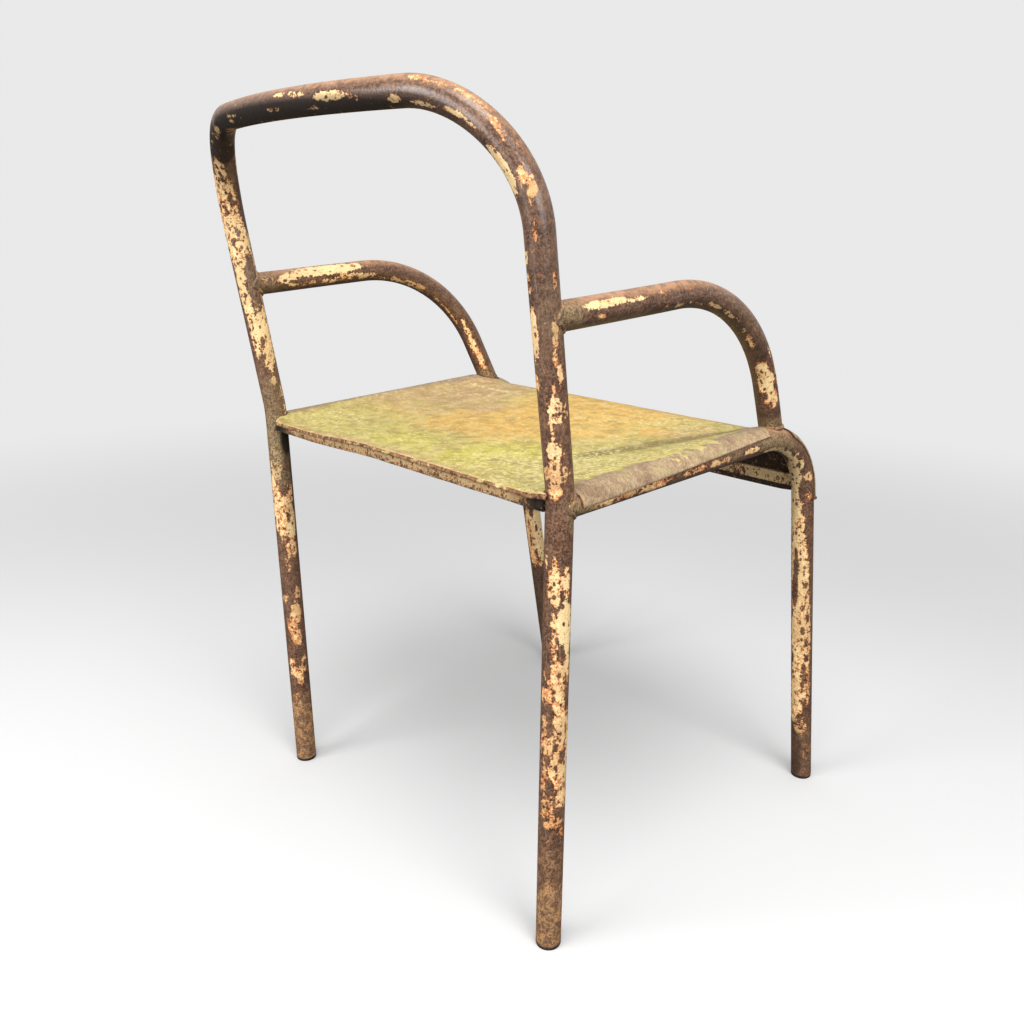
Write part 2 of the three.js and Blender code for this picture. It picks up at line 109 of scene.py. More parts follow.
class BackFrameSizes(bpy.types.PropertyGroup):
    """Rear posts and top rail, one tube from foot to foot."""

    foot_half_span: metres("Foot half span", "From the middle to a rear foot", 0.2266)
    foot_forward: metres("Foot forward", "How far a rear foot stands in front of the knee", 0.0109)
    knee_half_span: metres("Knee half span", "From the middle to a post at seat height", 0.2372)
    knee_height: metres("Knee height", "Height of the bend in a rear post", 0.4616)
    knee_bend: metres("Knee bend", "Radius of the bend in a rear post", 0.155)
    top_half_span: metres("Top half span", "From the middle to the upper corner", 0.2446)
    top_setback: metres("Top setback", "How far the upper corner leans back", 0.0503)
    top_height: metres("Top height", "Height of the top rail's axis", 0.7701)
    top_bend: metres("Top bend", "Radius of the upper corners", 0.101)
    top_bow: metres("Top bow", "How far the middle of the top rail bows back", 0.0496)


class SideFrameSizes(bpy.types.PropertyGroup):
    """Front leg and seat rail, one tube on each side."""

    foot_half_span: metres("Foot half span", "From the middle to a front foot", 0.2299)
    foot_reach: metres("Foot reach", "From the knee of the posts to a front foot", 0.4633)
    corner_half_span: metres("Corner half span", "From the middle to the leg's upper bend", 0.2347)
    corner_reach: metres("Corner reach", "From the knee of the posts to the leg's upper bend", 0.3785)
    corner_height: metres("Corner height", "Height where leg and rail would meet", 0.4656)
    leg_bend: metres("Leg bend", "Radius of the bend between leg and rail", 0.0863)
    rail_height: metres("Rail height", "Height of the rail's axis at the post", 0.448)
    left_drop: metres("Left drop", "How much lower the left rail is at its post", 0.006)


class ArmSizes(bpy.types.PropertyGroup):
    """Arms, each one tube from the post down to the seat rail."""

    post_height: metres("Height at post", "Height of the arm's axis at the post", 0.6047)
    corner_half_span: metres("Corner half span", "From the middle to the arm's bend", 0.2258)
    corner_reach: metres("Corner reach", "From the knee of the posts to the arm's bend", 0.2487)
    corner_height: metres("Corner height", "Height where the arm's two runs would meet", 0.6269)
    foot_half_span: metres("Foot half span", "From the middle to the arm's foot", 0.2286)
    foot_reach: metres("Foot reach", "From the knee of the posts to the arm's foot", 0.3256)
    bend: metres("Arm bend", "Radius of the arm's bend", 0.1705)
    outward_bow: metres("Outward bow", "How far the arm bows outwards", 0.0122)


class SeatSizes(bpy.types.PropertyGroup):
    """Seat sheet, rolled over the rails and down in front of the legs."""

    rear_edge: metres("Rear edge", "How far the sheet reaches behind the knee of the posts", 0.014)
    rim_radius: metres("Rim radius", "Radius of the turned down rear edge", 0.003)
    dish_depth: metres("Dish depth", "How far the pan lies below the rolled sides", 0.006)
    dish_slope: metres("Dish slope", "Width of the slope from a rail down to the pan", 0.095)
    front_slope: metres("Slope at the front", "Width of the same slope beside the arms", 0.034)
    edge_depth: metres("Depth at the edge", "How far the rear edge lies below the rolled sides", 0.0028)
    edge_slope: metres("Slope at the edge", "Width of the slope at the rear edge", 0.026)
    rear_wrap: degrees_round("Wrap at the rear", "How far the sheet rolls round a rail at the post", 96)
    front_wrap: degrees_round("Wrap in front", "How far the sheet rolls round a rail at the arm", 57)
    below_bend: metres("Below bend", "How far the apron goes down below the leg's bend", 0.006)
    post_clearance: metres("Post clearance", "Space in the sheet round a post", 0.0006)
    arm_clearance: metres("Arm clearance", "Space in the sheet round an arm's foot", 0.0012)


class BarSizes(bpy.types.PropertyGroup):
    """Flat bars under the seat's rear edge and inside the apron."""

    height: metres("Bar height", "Width of the flat bar, on edge", 0.014)
    rear_height: metres("Rear bar height", "Height of the rear bar that shows under the sheet", 0.0108)
    left_short: metres("Left short", "How far the rear bar stops short of the left post", 0.013)
    rear_level: metres("Rear bar level", "Height of the rear bar's middle above the floor", 0.4494)
    thickness: metres("Bar thickness", "Thickness of the flat bar", 0.004)
    rear_inset: metres("Rear inset", "How far the rear bar sits in front of the sheet's edge", 0.0018)
    front_inset: metres(
        "Front inset", "How far the front bar sits behind its place in the frame", 0.002)


class FootSizes(bpy.types.PropertyGroup):
    """Pressed plugs that close the feet."""

    head: metres("Head height", "Height of the plug under the tube", 0.006)
    edge: metres("Edge radius", "Radius of the plug's lower edge", 0.004)
    stem: metres("Stem length", "Length of the plug inside the tube", 0.016)
    stem_radius: metres("Stem radius", "Radius of the plug inside the tube", 0.0106)
    wear: metres("Wear", "How much the floor has worn off the plug", 0.0016)


class WeldSizes(bpy.types.PropertyGroup):
    """Beads, lumps and tacks."""

    rail_bead: metres("Rail bead", "Radius of the bead where a rail meets its post", 0.005)
    arm_bead: metres("Arm bead", "Radius of the beads at both ends of an arm", 0.0036)
    bar_lump: metres("Bar lump", "Radius of the lump at the end of a bar", 0.0046)
    apron_tack: metres("Apron tack", "Radius of the tack at the apron's lower corner", 0.0022)


class FinishColours(bpy.types.PropertyGroup):
    """Colours of the metal, the paint and the growth on it."""

    bare_dark: screen_colour("Dark metal", "Darkest tone of the bare rusted tube", 74, 50, 38)
    bare_mid: screen_colour("Metal", "Usual tone of the bare rusted tube", 134, 98, 74)
    rust: screen_colour("Rust", "Fresh rust round the flaking paint", 160, 92, 54)
    primer: screen_colour("Orange coat", "Orange coat under the cream paint", 232, 156, 98)
    cream: screen_colour("Cream paint", "Upper coat of paint", 254, 226, 168)
    dirt: screen_colour("Dirt", "Green grey dirt in the corners and on the posts", 152, 124, 86)
    dust: screen_colour("Dust", "Tan dust low on the legs", 190, 142, 94)
    seat: screen_colour("Seat", "Yellow green of the seat sheet", 216, 200, 116)
    ochre: screen_colour("Ochre", "Ochre in the middle of the seat", 228, 182, 96)
    green: screen_colour("Green", "Fresh green growth on the seat", 212, 202, 92)
    mauve: screen_colour("Mauve", "Pinkish tan where the seat is worn", 198, 162, 120)
    # The valley colour darkens a band along the valley beside the right rail
    valley: screen_colour("Valley dirt", "Dirt along the valley beside the rail", 128, 112, 66)
    roll: screen_colour("Rolled side", "Grey brown of the sheet's rolled sides", 166, 138, 104)


class StudioSettings(bpy.types.PropertyGroup):
    """Camera, lamps and floor."""

    lens: FloatProperty(
        name="Lens", description="Focal length of the camera in millimetres", default=33.477)
    floor_colour: FloatVectorProperty(
        name="Floor", description="Colour of the floor",
        default=(0.78, 0.78, 0.78), subtype="COLOR", size=3)
    backdrop: FloatProperty(
        name="Backdrop", description="Brightness of the background", default=0.82)
    sky_strength: FloatProperty(
        name="Sky", description="Strength of the even light", default=0.46)
    key_power: watts("Key lamp", "Power of the large lamp above", 42.0)
    fill_power: watts("Fill lamp", "Power of the lamp to the right of the camera", 36.0)
    side_power: watts("Side lamp", "Power of the lamp to the left of the camera", 42.0)


class ArmchairSettings(bpy.types.PropertyGroup):
    """All sizes and colours of the chair and its studio."""

    stock: PointerProperty(type=StockSizes)
    back: PointerProperty(type=BackFrameSizes)
    side: PointerProperty(type=SideFrameSizes)
    arm: PointerProperty(type=ArmSizes)
    seat: PointerProperty(type=SeatSizes)
    bar: PointerProperty(type=BarSizes)
    foot: PointerProperty(type=FootSizes)
    weld: PointerProperty(type=WeldSizes)
    colour: PointerProperty(type=FinishColours)
    studio: PointerProperty(type=StudioSettings)


# Helpers

def clamp(value):
    """The value, kept between nought and one."""
    return min(1.0, max(0.0, value))


def smooth(share):
    """The share with soft ends."""
    share = clamp(share)
    return share * share * (3 - 2 * share)


def unit(vector):
    """The direction alone."""
    return vector.normalized()


def soft_noise(x, y, z, seed):
    """Smooth noise round nought, another one for each seed."""
    return noise.noise(Vector((x, y, z + 37.0 * seed)))


def knee_place(chair):
    """How far back the knee of the posts lies in the frame."""
    rear_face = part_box("rear_seat_bar")[1].y
    return rear_face - (chair.seat.rear_edge - chair.bar.rear_inset)


# Paths of the tubes

def rounded(corners, radii, spacing):
    """Points along a polyline whose inner corners are rounded, a spacing apart."""
    points = [corners[0].copy()]

    def go_straight(target):
        start = points[-1].copy()
        count = max(1, round((target - start).length / spacing))
        for i in range(1, count + 1):
            points.append(start.lerp(target, i / count))

    for corner, before, after, radius in zip(corners[1:-1], corners, corners[2:], radii):
        back = unit(before - corner)
        ahead = unit(after - corner)
        half_angle = back.angle(ahead) / 2
        turn = math.pi - 2 * half_angle
        centre = corner + unit(back + ahead) * radius / math.sin(half_angle)
        cut = radius / math.tan(half_angle)
        first = corner + back * cut - centre
        second = corner + ahead * cut - centre
        go_straight(centre + first)
        count = max(3, round(turn * radius / spacing))
        for i in range(1, count + 1):
            angle = turn * i / count
            spoke = first * math.sin(turn - angle) + second * math.sin(angle)
            points.append(centre + spoke / math.sin(turn))
    go_straight(corners[-1])
    return points


def running_lengths(points):
    """How far each point lies along the path."""
    lengths = [0.0]
    for before, after in zip(points, points[1:]):
        lengths.append(lengths[-1] + (after - before).length)
    return lengths


def back_path(chair):
    """From the left foot over the top of the back to the right foot."""
    size = chair.back
    knee = knee_place(chair)
    half = rounded([
        Vector((size.foot_half_span, knee - size.foot_forward, 0)),
        Vector((size.knee_half_span, knee, size.knee_height)),
        Vector((size.top_half_span, knee + size.top_setback, size.top_height)),
        Vector((0, knee + size.top_setback, size.top_height)),
    ], [size.knee_bend, size.top_bend], chair.stock.spacing)
    bend_start = size.top_height - size.top_bend
    span = next(point.x for point in half if point.z > bend_start)
    points = half + [Vector((-point.x, point.y, point.z)) for point in reversed(half[:-1])]
    for point in points:
        if point.z > bend_start:
            point.y += size.top_bow * max(0, 1 - (point.x / span) ** 2)
    return points


def side_path(chair, side):
    """From the front foot up the leg and back along the rail to the post's axis."""
    size = chair.side
    knee = knee_place(chair)
    return rounded([
        Vector((side * size.foot_half_span, knee - size.foot_reach, 0)),
        Vector((side * size.corner_half_span, knee - size.corner_reach, size.corner_height)),
        Vector((side * chair.back.knee_half_span, knee, rail_end(chair, side))),
    ], [size.leg_bend], chair.stock.spacing)


def rail_end(chair, side):
    """Height of a rail's axis at its post."""
    return chair.side.rail_height - (chair.side.left_drop if side > 0 else 0)


# The seat sinks to the left from this far across, over this width. The rear bar follows
# a part of it.
SAG_FROM, SAG_OVER = 0.02, 0.13
BAR_SAG = 0.62


def left_sag(chair, across, behind):
    """How far the seat sinks towards the left post."""
    rear = clamp(1 + behind / chair.side.corner_reach)
    return chair.side.left_drop * smooth((across - SAG_FROM) / SAG_OVER) * rear


def bar_sag(chair, across):
    return BAR_SAG * left_sag(chair, across, 0)


def post_at(chair, side, height):
    """Where a post's axis passes a height, and the post's direction there."""
    points = back_path(chair)
    above = next(i for i, point in enumerate(points) if point.z > height)
    low, high = points[above - 1], points[above]
    place = low.lerp(high, (height - low.z) / (high.z - low.z))
    along = unit(high - low)
    return (Vector((side * place.x, place.y, place.z)),
            Vector((side * along.x, along.y, along.z)))


def arm_path(chair, side):
    """From the post's axis forward and down to the rail's axis."""
    size = chair.arm
    knee = knee_place(chair)
    start, _ = post_at(chair, side, size.post_height)
    points = rounded([
        start,
        Vector((side * size.corner_half_span, knee - size.corner_reach, size.corner_height)),
        Vector((side * size.foot_half_span, knee - size.foot_reach, chair.side.corner_height)),
    ], [size.bend], chair.stock.spacing)
    lengths = running_lengths(points)
    for point, length in zip(points, lengths):
        point.x += side * size.outward_bow * math.sin(math.pi * length / lengths[-1])
    return points


# Round sections along a path

SHOWN_SIDE = Vector((-0.70, 0.66, 0.27)).normalized()


def ring_frame(points, index):
    """At a path's point: X to the tube's shown side, Z along the tube."""
    ahead = points[min(index + 1, len(points) - 1)]
    behind = points[max(index - 1, 0)]
    along = unit(ahead - behind)
    front = unit(SHOWN_SIDE - along * SHOWN_SIDE.dot(along))
    turned = Matrix((front, along.cross(front), along)).transposed().to_4x4()
    return Matrix.Translation(points[index]) @ turned


def surface_reach(start, along, carrier_place, carrier_along, radius):
    """How far a point must go along a line to reach a round carrier's surface."""
    away = start - carrier_place
    away -= carrier_along * away.dot(carrier_along)
    step = along - carrier_along * along.dot(carrier_along)
    a = step.length_squared
    b = away.dot(step)
    c = away.length_squared - radius ** 2
    return (-b - math.sqrt(max(b * b - a * c, 0))) / a


# Extra rings at a coped end, and the distance at which two vertices become one
COPE_RINGS = 5
SAME_PLACE = 0.00002


def tube_rings(points, start_carrier=None, end_carrier=None):
    """One ring for each point, and at a coped end a few more up to the carrier's skin."""
    lengths = running_lengths(points)
    frames = [ring_frame(points, i) for i in range(len(points))]
    rings = [(place, length, None, 0) for place, length in zip(frames, lengths)]
    if start_carrier:
        rings = [(frames[0], 0.0, start_carrier, -step / COPE_RINGS)
                 for step in range(COPE_RINGS, 0, -1)] + rings
    if end_carrier:
        rings += [(frames[-1], lengths[-1], end_carrier, step / COPE_RINGS)
                  for step in range(1, COPE_RINGS + 1)]
    return rings


def tube_skin(rings, stock, coats, offset):
    """A closed tube through the rings. Each vertex keeps its unrolled place and its coats."""
    bm = bmesh.new()
    place_layer = bm.verts.layers.float_vector.new("unrolled")
    wear_layer = bm.verts.layers.float_color.new("wear")
    radius = stock.tube_radius
    rows = len(rings) - 1
    bmesh.ops.create_grid(bm, x_segments=stock.tube_sides, y_segments=rows, size=0.5)
    for vert in bm.verts:
        angle = math.tau * vert.co.x
        frame_there, length, carrier, share = rings[round((vert.co.y + 0.5) * rows)]
        local = Vector((radius * math.cos(angle), radius * math.sin(angle), 0))
        vert.co = frame_there @ local
        if carrier:
            along = frame_there.to_3x3().col[2] * math.copysign(1, share)
            reach = surface_reach(vert.co, along, *carrier, radius)
            vert.co += along * reach * abs(share)
            length += reach * share
        length += offset
        vert[place_layer] = Vector((local.x, local.y, length))
        vert[wear_layer] = coats(length, angle)
    bmesh.ops.remove_doubles(bm, verts=bm.verts, dist=SAME_PLACE)
    bmesh.ops.holes_fill(bm, edges=bm.edges, sides=0)
    bmesh.ops.recalc_face_normals(bm, faces=bm.faces)
    for face in bm.faces:
        face.smooth = len(face.verts) == 4
        if not face.smooth:
            for edge in face.edges:
                edge.smooth = False
    return bm


# Patches of paint. Each has its middle along the tube in millimetres and round it in
# degrees from the shown side, half its length, half its width in degrees, how well it
# covers the metal, and how much of it is only the orange coat.

# How far from its middle a patch and its stain end, and how wide the patch's soft edge is,
# in parts of its size
PATCH_END, PATCH_FADE = 1.3, 0.45
STAIN_END = 1.6

# The stain where no patch is near, and its weight where some are
STAIN_ELSEWHERE, ELSEWHERE_WEIGHT = 0.5, 0.15

# Patches are sorted into stretches of the tube of this many millimetres
STRETCH = 10

# The patches hold a little past the edge of the shown side. Beyond, the paint comes and
# goes over this length in millimetres and this distance round the tube.
SHOWN_PAST, SHOWN_FADE = 0.35, 0.45
WANDER_LENGTH, WANDER_ROUND, WANDER_STRENGTH = 42, 0.9, 0.75


def patch_distance(patch, along, degrees):
    away = (degrees - patch[1] + 180) % 360 - 180
    return math.hypot((along - patch[0]) / patch[2], away / patch[3])


def patch_value(patches, along, degrees):
    """The strongest patch at a place."""
    total = 0.0
    for patch in patches:
        share = clamp((PATCH_END - patch_distance(patch, along, degrees)) / PATCH_FADE)
        total = max(total, share * patch[4])
    return total


def stain_value(patches, along, degrees):
    """How much of the paint is only the orange coat, by the patches that are near."""
    weight = ELSEWHERE_WEIGHT
    total = ELSEWHERE_WEIGHT * STAIN_ELSEWHERE
    for patch in patches:
        share = max(0.0, STAIN_END - patch_distance(patch, along, degrees)) ** 2
        weight += share
        total += share * patch[5]
    return total / weight


class Coats:
    """How much paint, orange coat, dirt and painted shade there is along and round one tube."""

    def __init__(self, paint, bare=(), dirt=(), painted_shade=(), hidden=0.34, seed=1):
        self.lists = (paint, bare, dirt, painted_shade)
        self.hidden = hidden
        self.seed = seed
        self.near = {}

    def patches_near(self, place):
        """The patches that can reach one short stretch of the tube."""
        stretch = int(place // STRETCH)
        if stretch not in self.near:
            middle = stretch * STRETCH + STRETCH / 2
            self.near[stretch] = [
                [patch for patch in patches
                 if abs(patch[0] - middle) < STAIN_END * patch[2] + STRETCH / 2]
                for patches in self.lists]
        return self.near[stretch]

    def __call__(self, along, angle):
        place = along * 1000
        degrees = math.degrees(angle)
        paint, bare, dirt, painted_shade = self.patches_near(place)
        cover = patch_value(paint, place, degrees)
        cover *= 1 - patch_value(bare, place, degrees)
        shown = clamp((math.cos(angle) + SHOWN_PAST) / SHOWN_FADE)
        wander = soft_noise(WANDER_ROUND * math.cos(angle), WANDER_ROUND * math.sin(angle),
                            place / WANDER_LENGTH, self.seed)
        cover = cover * shown + (self.hidden + WANDER_STRENGTH * wander) * (1 - shown)
        return (clamp(cover), stain_value(paint, place, degrees),
                patch_value(dirt, place, degrees), patch_value(painted_shade, place, degrees))


# The last list of each table below is painted shade: on the undersides, at the tube ends and in the
# places under the seat
BACK_COATS = Coats(
    seed=3,
    paint=[
        (82, -15, 16, 36, 0.45, 0.9), (134, -22, 14, 22, 0.78, 0.85), (120, 20, 14, 22, 0.8, 0.6),
        (136, 52, 12, 20, 0.74, 0.6), (175, 20, 11, 32, 0.78, 0.85), (191, 2, 12, 32, 0.78, 0.85),
        (208, 26, 14, 30, 0.8, 0.8), (226, -28, 6, 18, 0.68, 0.7), (232, 50, 9, 22, 0.62, 0.9),
        (270, 5, 9, 16, 0.52, 0.9), (290, 36, 12, 32, 0.72, 0.7), (325, 45, 24, 34, 0.86, 0.5),
        (338, 0, 34, 40, 0.8, 0.65), (350, -40, 38, 22, 0.84, 0.45), (360, 55, 14, 20, 0.6, 0.5),
        (400, -5, 26, 34, 0.58, 0.2), (385, -42, 16, 16, 0.85, 0.25),
        (470, 76, 24, 12, 0.66, 0.3), (497, 36, 5, 16, 0.68, 0.3),
        (535, 42, 24, 46, 0.72, 0.35), (562, 34, 30, 60, 0.84, 0.25), (560, -18, 34, 16, 0.7, 0.4),
        (602, -18, 30, 30, 0.78, 0.35), (645, -4, 22, 40, 0.72, 0.4), (660, 56, 22, 34, 0.78, 0.3),
        (700, 5, 62, 44, 0.7, 0.4), (690, -50, 60, 22, 0.72, 0.5), (612, 84, 34, 8, 0.6, 0.4),
        (796, 24, 9, 12, 0.62, 0.2), (806, 50, 12, 14, 0.66, 0.2),
        (819, 66, 8, 14, 0.68, 0.2), (812, -6, 12, 10, 0.64, 0.3),
        (788, -34, 10, 8, 0.62, 0.3), (776, -14, 8, 8, 0.64, 0.3),
        (768, -40, 6, 8, 0.64, 0.3), (781, 8, 6, 10, 0.64, 0.3),
        (885, 46, 14, 8, 0.6, 0.4), (880, 66, 8, 8, 0.58, 0.4), (975, 48, 10, 10, 0.66, 0.3),
        (984, -2, 8, 10, 0.82, 0.15), (1001, -8, 8, 9, 0.7, 0.4), (1014, 8, 10, 10, 0.7, 0.3),
        (1057, 22, 20, 18, 0.95, 0.15), (1084, 36, 6, 10, 0.6, 0.5), (1032, 62, 8, 7, 0.5, 0.4),
        (1148, -22, 16, 14, 0.55, 0.6), (1186, -26, 24, 14, 0.55, 0.7), (1214, -8, 10, 14, 0.55, 0.8),
        (1124, 52, 6, 18, 0.74, 0.3), (1150, 66, 16, 11, 0.68, 0.3), (1186, 48, 16, 11, 0.74, 0.3),
        (1237, 66, 23, 24, 0.96, 0.2), (1254, 4, 12, 26, 0.74, 0.95), (1266, 18, 5, 9, 0.6, 1.0),
        (1288, 22, 10, 6, 0.5, 1.0), (1325, -42, 6, 13, 0.6, 1.0), (1307, 74, 5, 16, 0.7, 0.2),
        (1328, 68, 8, 14, 0.66, 0.3), (1366, 62, 21, 24, 0.92, 0.35), (1364, -25, 12, 13, 0.74, 0.7),
        (1385, -18, 7, 10, 0.68, 0.6), (1399, -34, 8, 14, 0.76, 0.6), (1410, -6, 6, 10, 0.6, 0.6),
        (1405, 70, 6, 20, 0.8, 0.7), (1427, -2, 12, 32, 0.66, 0.3), (1428, -50, 8, 9, 0.6, 0.5),
        (1447, 16, 8, 8, 0.6, 0.5), (1462, 18, 9, 30, 0.86, 0.35), (1481, 20, 9, 52, 0.86, 0.8),
        (1494, 22, 10, 30, 0.88, 0.95), (1505, 20, 5, 12, 0.8, 0.9), (1470, 14, 12, 20, 0.86, 0.6),
        (1515, -46, 11, 13, 0.68, 0.3), (1541, 6, 5, 14, 0.5, 1.0), (1558, 55, 9, 10, 0.66, 0.4),
        (1562, 14, 10, 14, 0.68, 0.5), (1578, -36, 16, 20, 0.7, 0.4), (1582, 14, 17, 30, 0.72, 0.45),
        (1592, 4, 9, 14, 0.9, 0.3), (1620, -40, 24, 34, 1.05, 0.0), (1622, 10, 16, 24, 0.78, 0.45),
        (1652, 10, 16, 16, 0.76, 0.6), (1656, -52, 16, 18, 0.84, 0.3), (1668, -14, 15, 42, 0.78, 0.7),
        (1687, 38, 8, 34, 0.78, 0.95), (1692, -18, 18, 26, 0.8, 0.65), (1712, -24, 20, 30, 0.78, 0.6),
        (1738, -10, 18, 48, 0.72, 0.75), (1738, 60, 10, 18, 0.7, 0.95), (1768, -26, 16, 42, 0.8, 0.6),
        (1755, 14, 9, 22, 0.6, 0.7), (1790, -46, 13, 34, 0.8, 0.85), (1796, 8, 10, 18, 0.62, 0.9),
        (1816, -2, 9, 44, 0.62, 0.95), (1828, -42, 10, 16, 0.55, 0.95), (1884, -4, 8, 20, 0.44, 0.9),
        (1664, 40, 12, 18, 0.54, 0.8), (1716, 46, 18, 16, 0.56, 0.85), (1736, 34, 14, 26, 0.62, 0.7),
        (1774, 44, 24, 18, 0.53, 0.9), (1800, 32, 18, 22, 0.52, 0.9), (1745, -68, 42, 13, 0.82, 0.4),
    ],
    bare=[
        (542, 22, 7, 9, 0.8), (524, 8, 6, 9, 0.8), (566, -8, 7, 6, 0.7), (610, 50, 28, 26, 1.0),
        (582, 26, 10, 9, 0.7), (655, -12, 5, 7, 0.7), (668, 14, 5, 6, 0.7), (692, -14, 6, 6, 0.7),
        (704, 26, 11, 9, 0.9), (735, 4, 6, 5, 0.6), (715, 84, 46, 24, 1.0), (752, 56, 22, 20, 1.0),
        (790, 10, 24, 50, 0.55), (368, 14, 9, 15, 0.9), (380, 34, 9, 18, 0.9), (330, 34, 5, 9, 0.7),
        (430, 40, 14, 30, 0.7), (154, 0, 8, 60, 0.95), (1210, 70, 5, 30, 1.0),
        (1530, 5, 22, 60, 0.7), (1478, -8, 4, 7, 0.8), (1488, 48, 4, 6, 0.7),
        (1645, -26, 9, 12, 0.9), (1654, 36, 14, 16, 0.9), (1630, 40, 16, 14, 0.8),
        (1671, -44, 6, 9, 0.9), (1702, 32, 9, 14, 0.95), (1722, 20, 6, 12, 0.8),
        (1748, -36, 6, 12, 0.8), (1752, 30, 6, 12, 0.8), (1738, -2, 4, 8, 0.7), (1780, 16, 8, 16, 0.7),
        (1806, -40, 5, 30, 0.8), (1860, 0, 24, 90, 0.9),
    ],
    dirt=[
        (428, 0, 32, 90, 0.95), (400, 20, 30, 60, 0.6), (478, 0, 22, 90, 0.5), (28, 0, 60, 180, 0.9),
        (1930, 0, 44, 180, 0.9), (1872, 0, 22, 90, 0.35),
        (1519, -60, 16, 30, 0.7), (600, 40, 22, 30, 0.3),
        (1350, -40, 22, 60, 0.25),
    ],
    painted_shade=[
        (1325, 0, 60, 50, 0.14), (960, 72, 190, 56, 1.0), (1130, 62, 60, 30, 0.6),
        (774, 26, 22, 90, 0.92), (790, 40, 26, 70, 0.8),
        (425, 58, 18, 30, 0.9), (700, 90, 60, 24, 0.5), (1960, 0, 4, 200, 0.4), (0, 0, 4, 200, 0.4),
    ],
)

SIDE_COATS = {
    "right": Coats(
        seed=5,
        paint=[
            (42, 12, 8, 18, 0.42, 0.9), (84, -28, 12, 40, 0.54, 0.7), (105, -62, 18, 44, 0.86, 0.6),
            (130, -44, 34, 52, 0.84, 0.6), (140, 8, 34, 26, 0.66, 0.6), (215, -38, 70, 52, 0.86, 0.6),
            (215, 12, 60, 22, 0.78, 0.6), (300, -20, 44, 40, 0.88, 0.45), (300, -74, 44, 18, 0.86, 0.5),
            (362, -50, 34, 46, 0.8, 0.45), (395, -66, 40, 34, 0.9, 0.2), (350, -10, 22, 18, 0.66, 0.4),
            (396, 18, 5, 22, 0.56, 0.5), (423, 16, 8, 30, 0.82, 0.6), (428, -58, 30, 34, 0.94, 0.1),
            (450, -30, 22, 34, 0.8, 0.2), (478, -50, 24, 20, 0.86, 0.15), (505, -66, 30, 16, 0.95, 0.1),
            (562, -28, 14, 16, 0.78, 0.45), (603, -30, 9, 16, 0.62, 0.6),
            (623, -32, 10, 16, 0.68, 0.6), (655, -34, 20, 16, 0.56, 0.7),
            (712, -42, 20, 24, 0.76, 0.7), (742, -42, 18, 22, 0.7, 0.7), (780, -42, 24, 26, 0.78, 0.7),
        ],
        bare=[
            (96, -32, 6, 12, 0.8), (108, -4, 8, 12, 0.8), (121, -6, 5, 14, 0.8), (144, -16, 4, 11, 0.9),
            (156, -4, 6, 10, 0.9), (168, -8, 7, 10, 0.8), (182, -76, 5, 9, 0.9), (183, 10, 4, 14, 0.9),
            (204, 8, 5, 11, 0.9), (222, -14, 5, 12, 1.0), (239, 12, 6, 11, 0.9), (245, -84, 7, 8, 0.8),
            (253, -16, 4, 11, 0.9), (276, -60, 20, 20, 1.0), (306, -50, 20, 13, 1.0),
            (283, -2, 4, 13, 0.8), (300, -12, 4, 6, 0.7), (336, 14, 6, 9, 0.9), (358, 12, 14, 16, 1.0),
            (380, -10, 5, 11, 0.9), (408, -16, 12, 22, 1.0), (434, 4, 5, 30, 1.0),
            (446, -26, 4, 12, 0.9), (458, -10, 4, 14, 0.9), (470, -34, 4, 9, 0.8),
            (450, 34, 24, 22, 1.0), (500, -16, 26, 26, 0.9),
        ],
        dirt=[(512, -14, 34, 40, 0.8), (590, -10, 12, 40, 0.5), (806, -20, 16, 120, 0.8),
              (30, 0, 50, 160, 0.25)],
        painted_shade=[(35, -80, 50, 60, 0.6), (0, 0, 4, 200, 0.5), (660, -95, 130, 22, 0.5)],
    ),
    "left": Coats(
        seed=7,
        paint=[
            (222, -34, 50, 36, 0.9, 0.95), (226, 42, 48, 50, 0.98, 0.1),
            (175, 10, 8, 30, 0.6, 0.6), (150, 20, 12, 20, 0.55, 0.8),
        ],
        bare=[
            (218, -34, 8, 7, 1.0), (236, 16, 5, 10, 1.0), (248, -36, 6, 6, 0.9), (196, -6, 6, 6, 0.6),
            (262, -10, 6, 9, 0.7), (150, -10, 20, 40, 0.8),
        ],
        dirt=[(340, 0, 40, 180, 0.4)],
        painted_shade=[(60, 0, 110, 180, 0.4), (0, 0, 8, 200, 0.8), (285, 0, 20, 180, 0.6)],
        hidden=0.42,
    ),
}

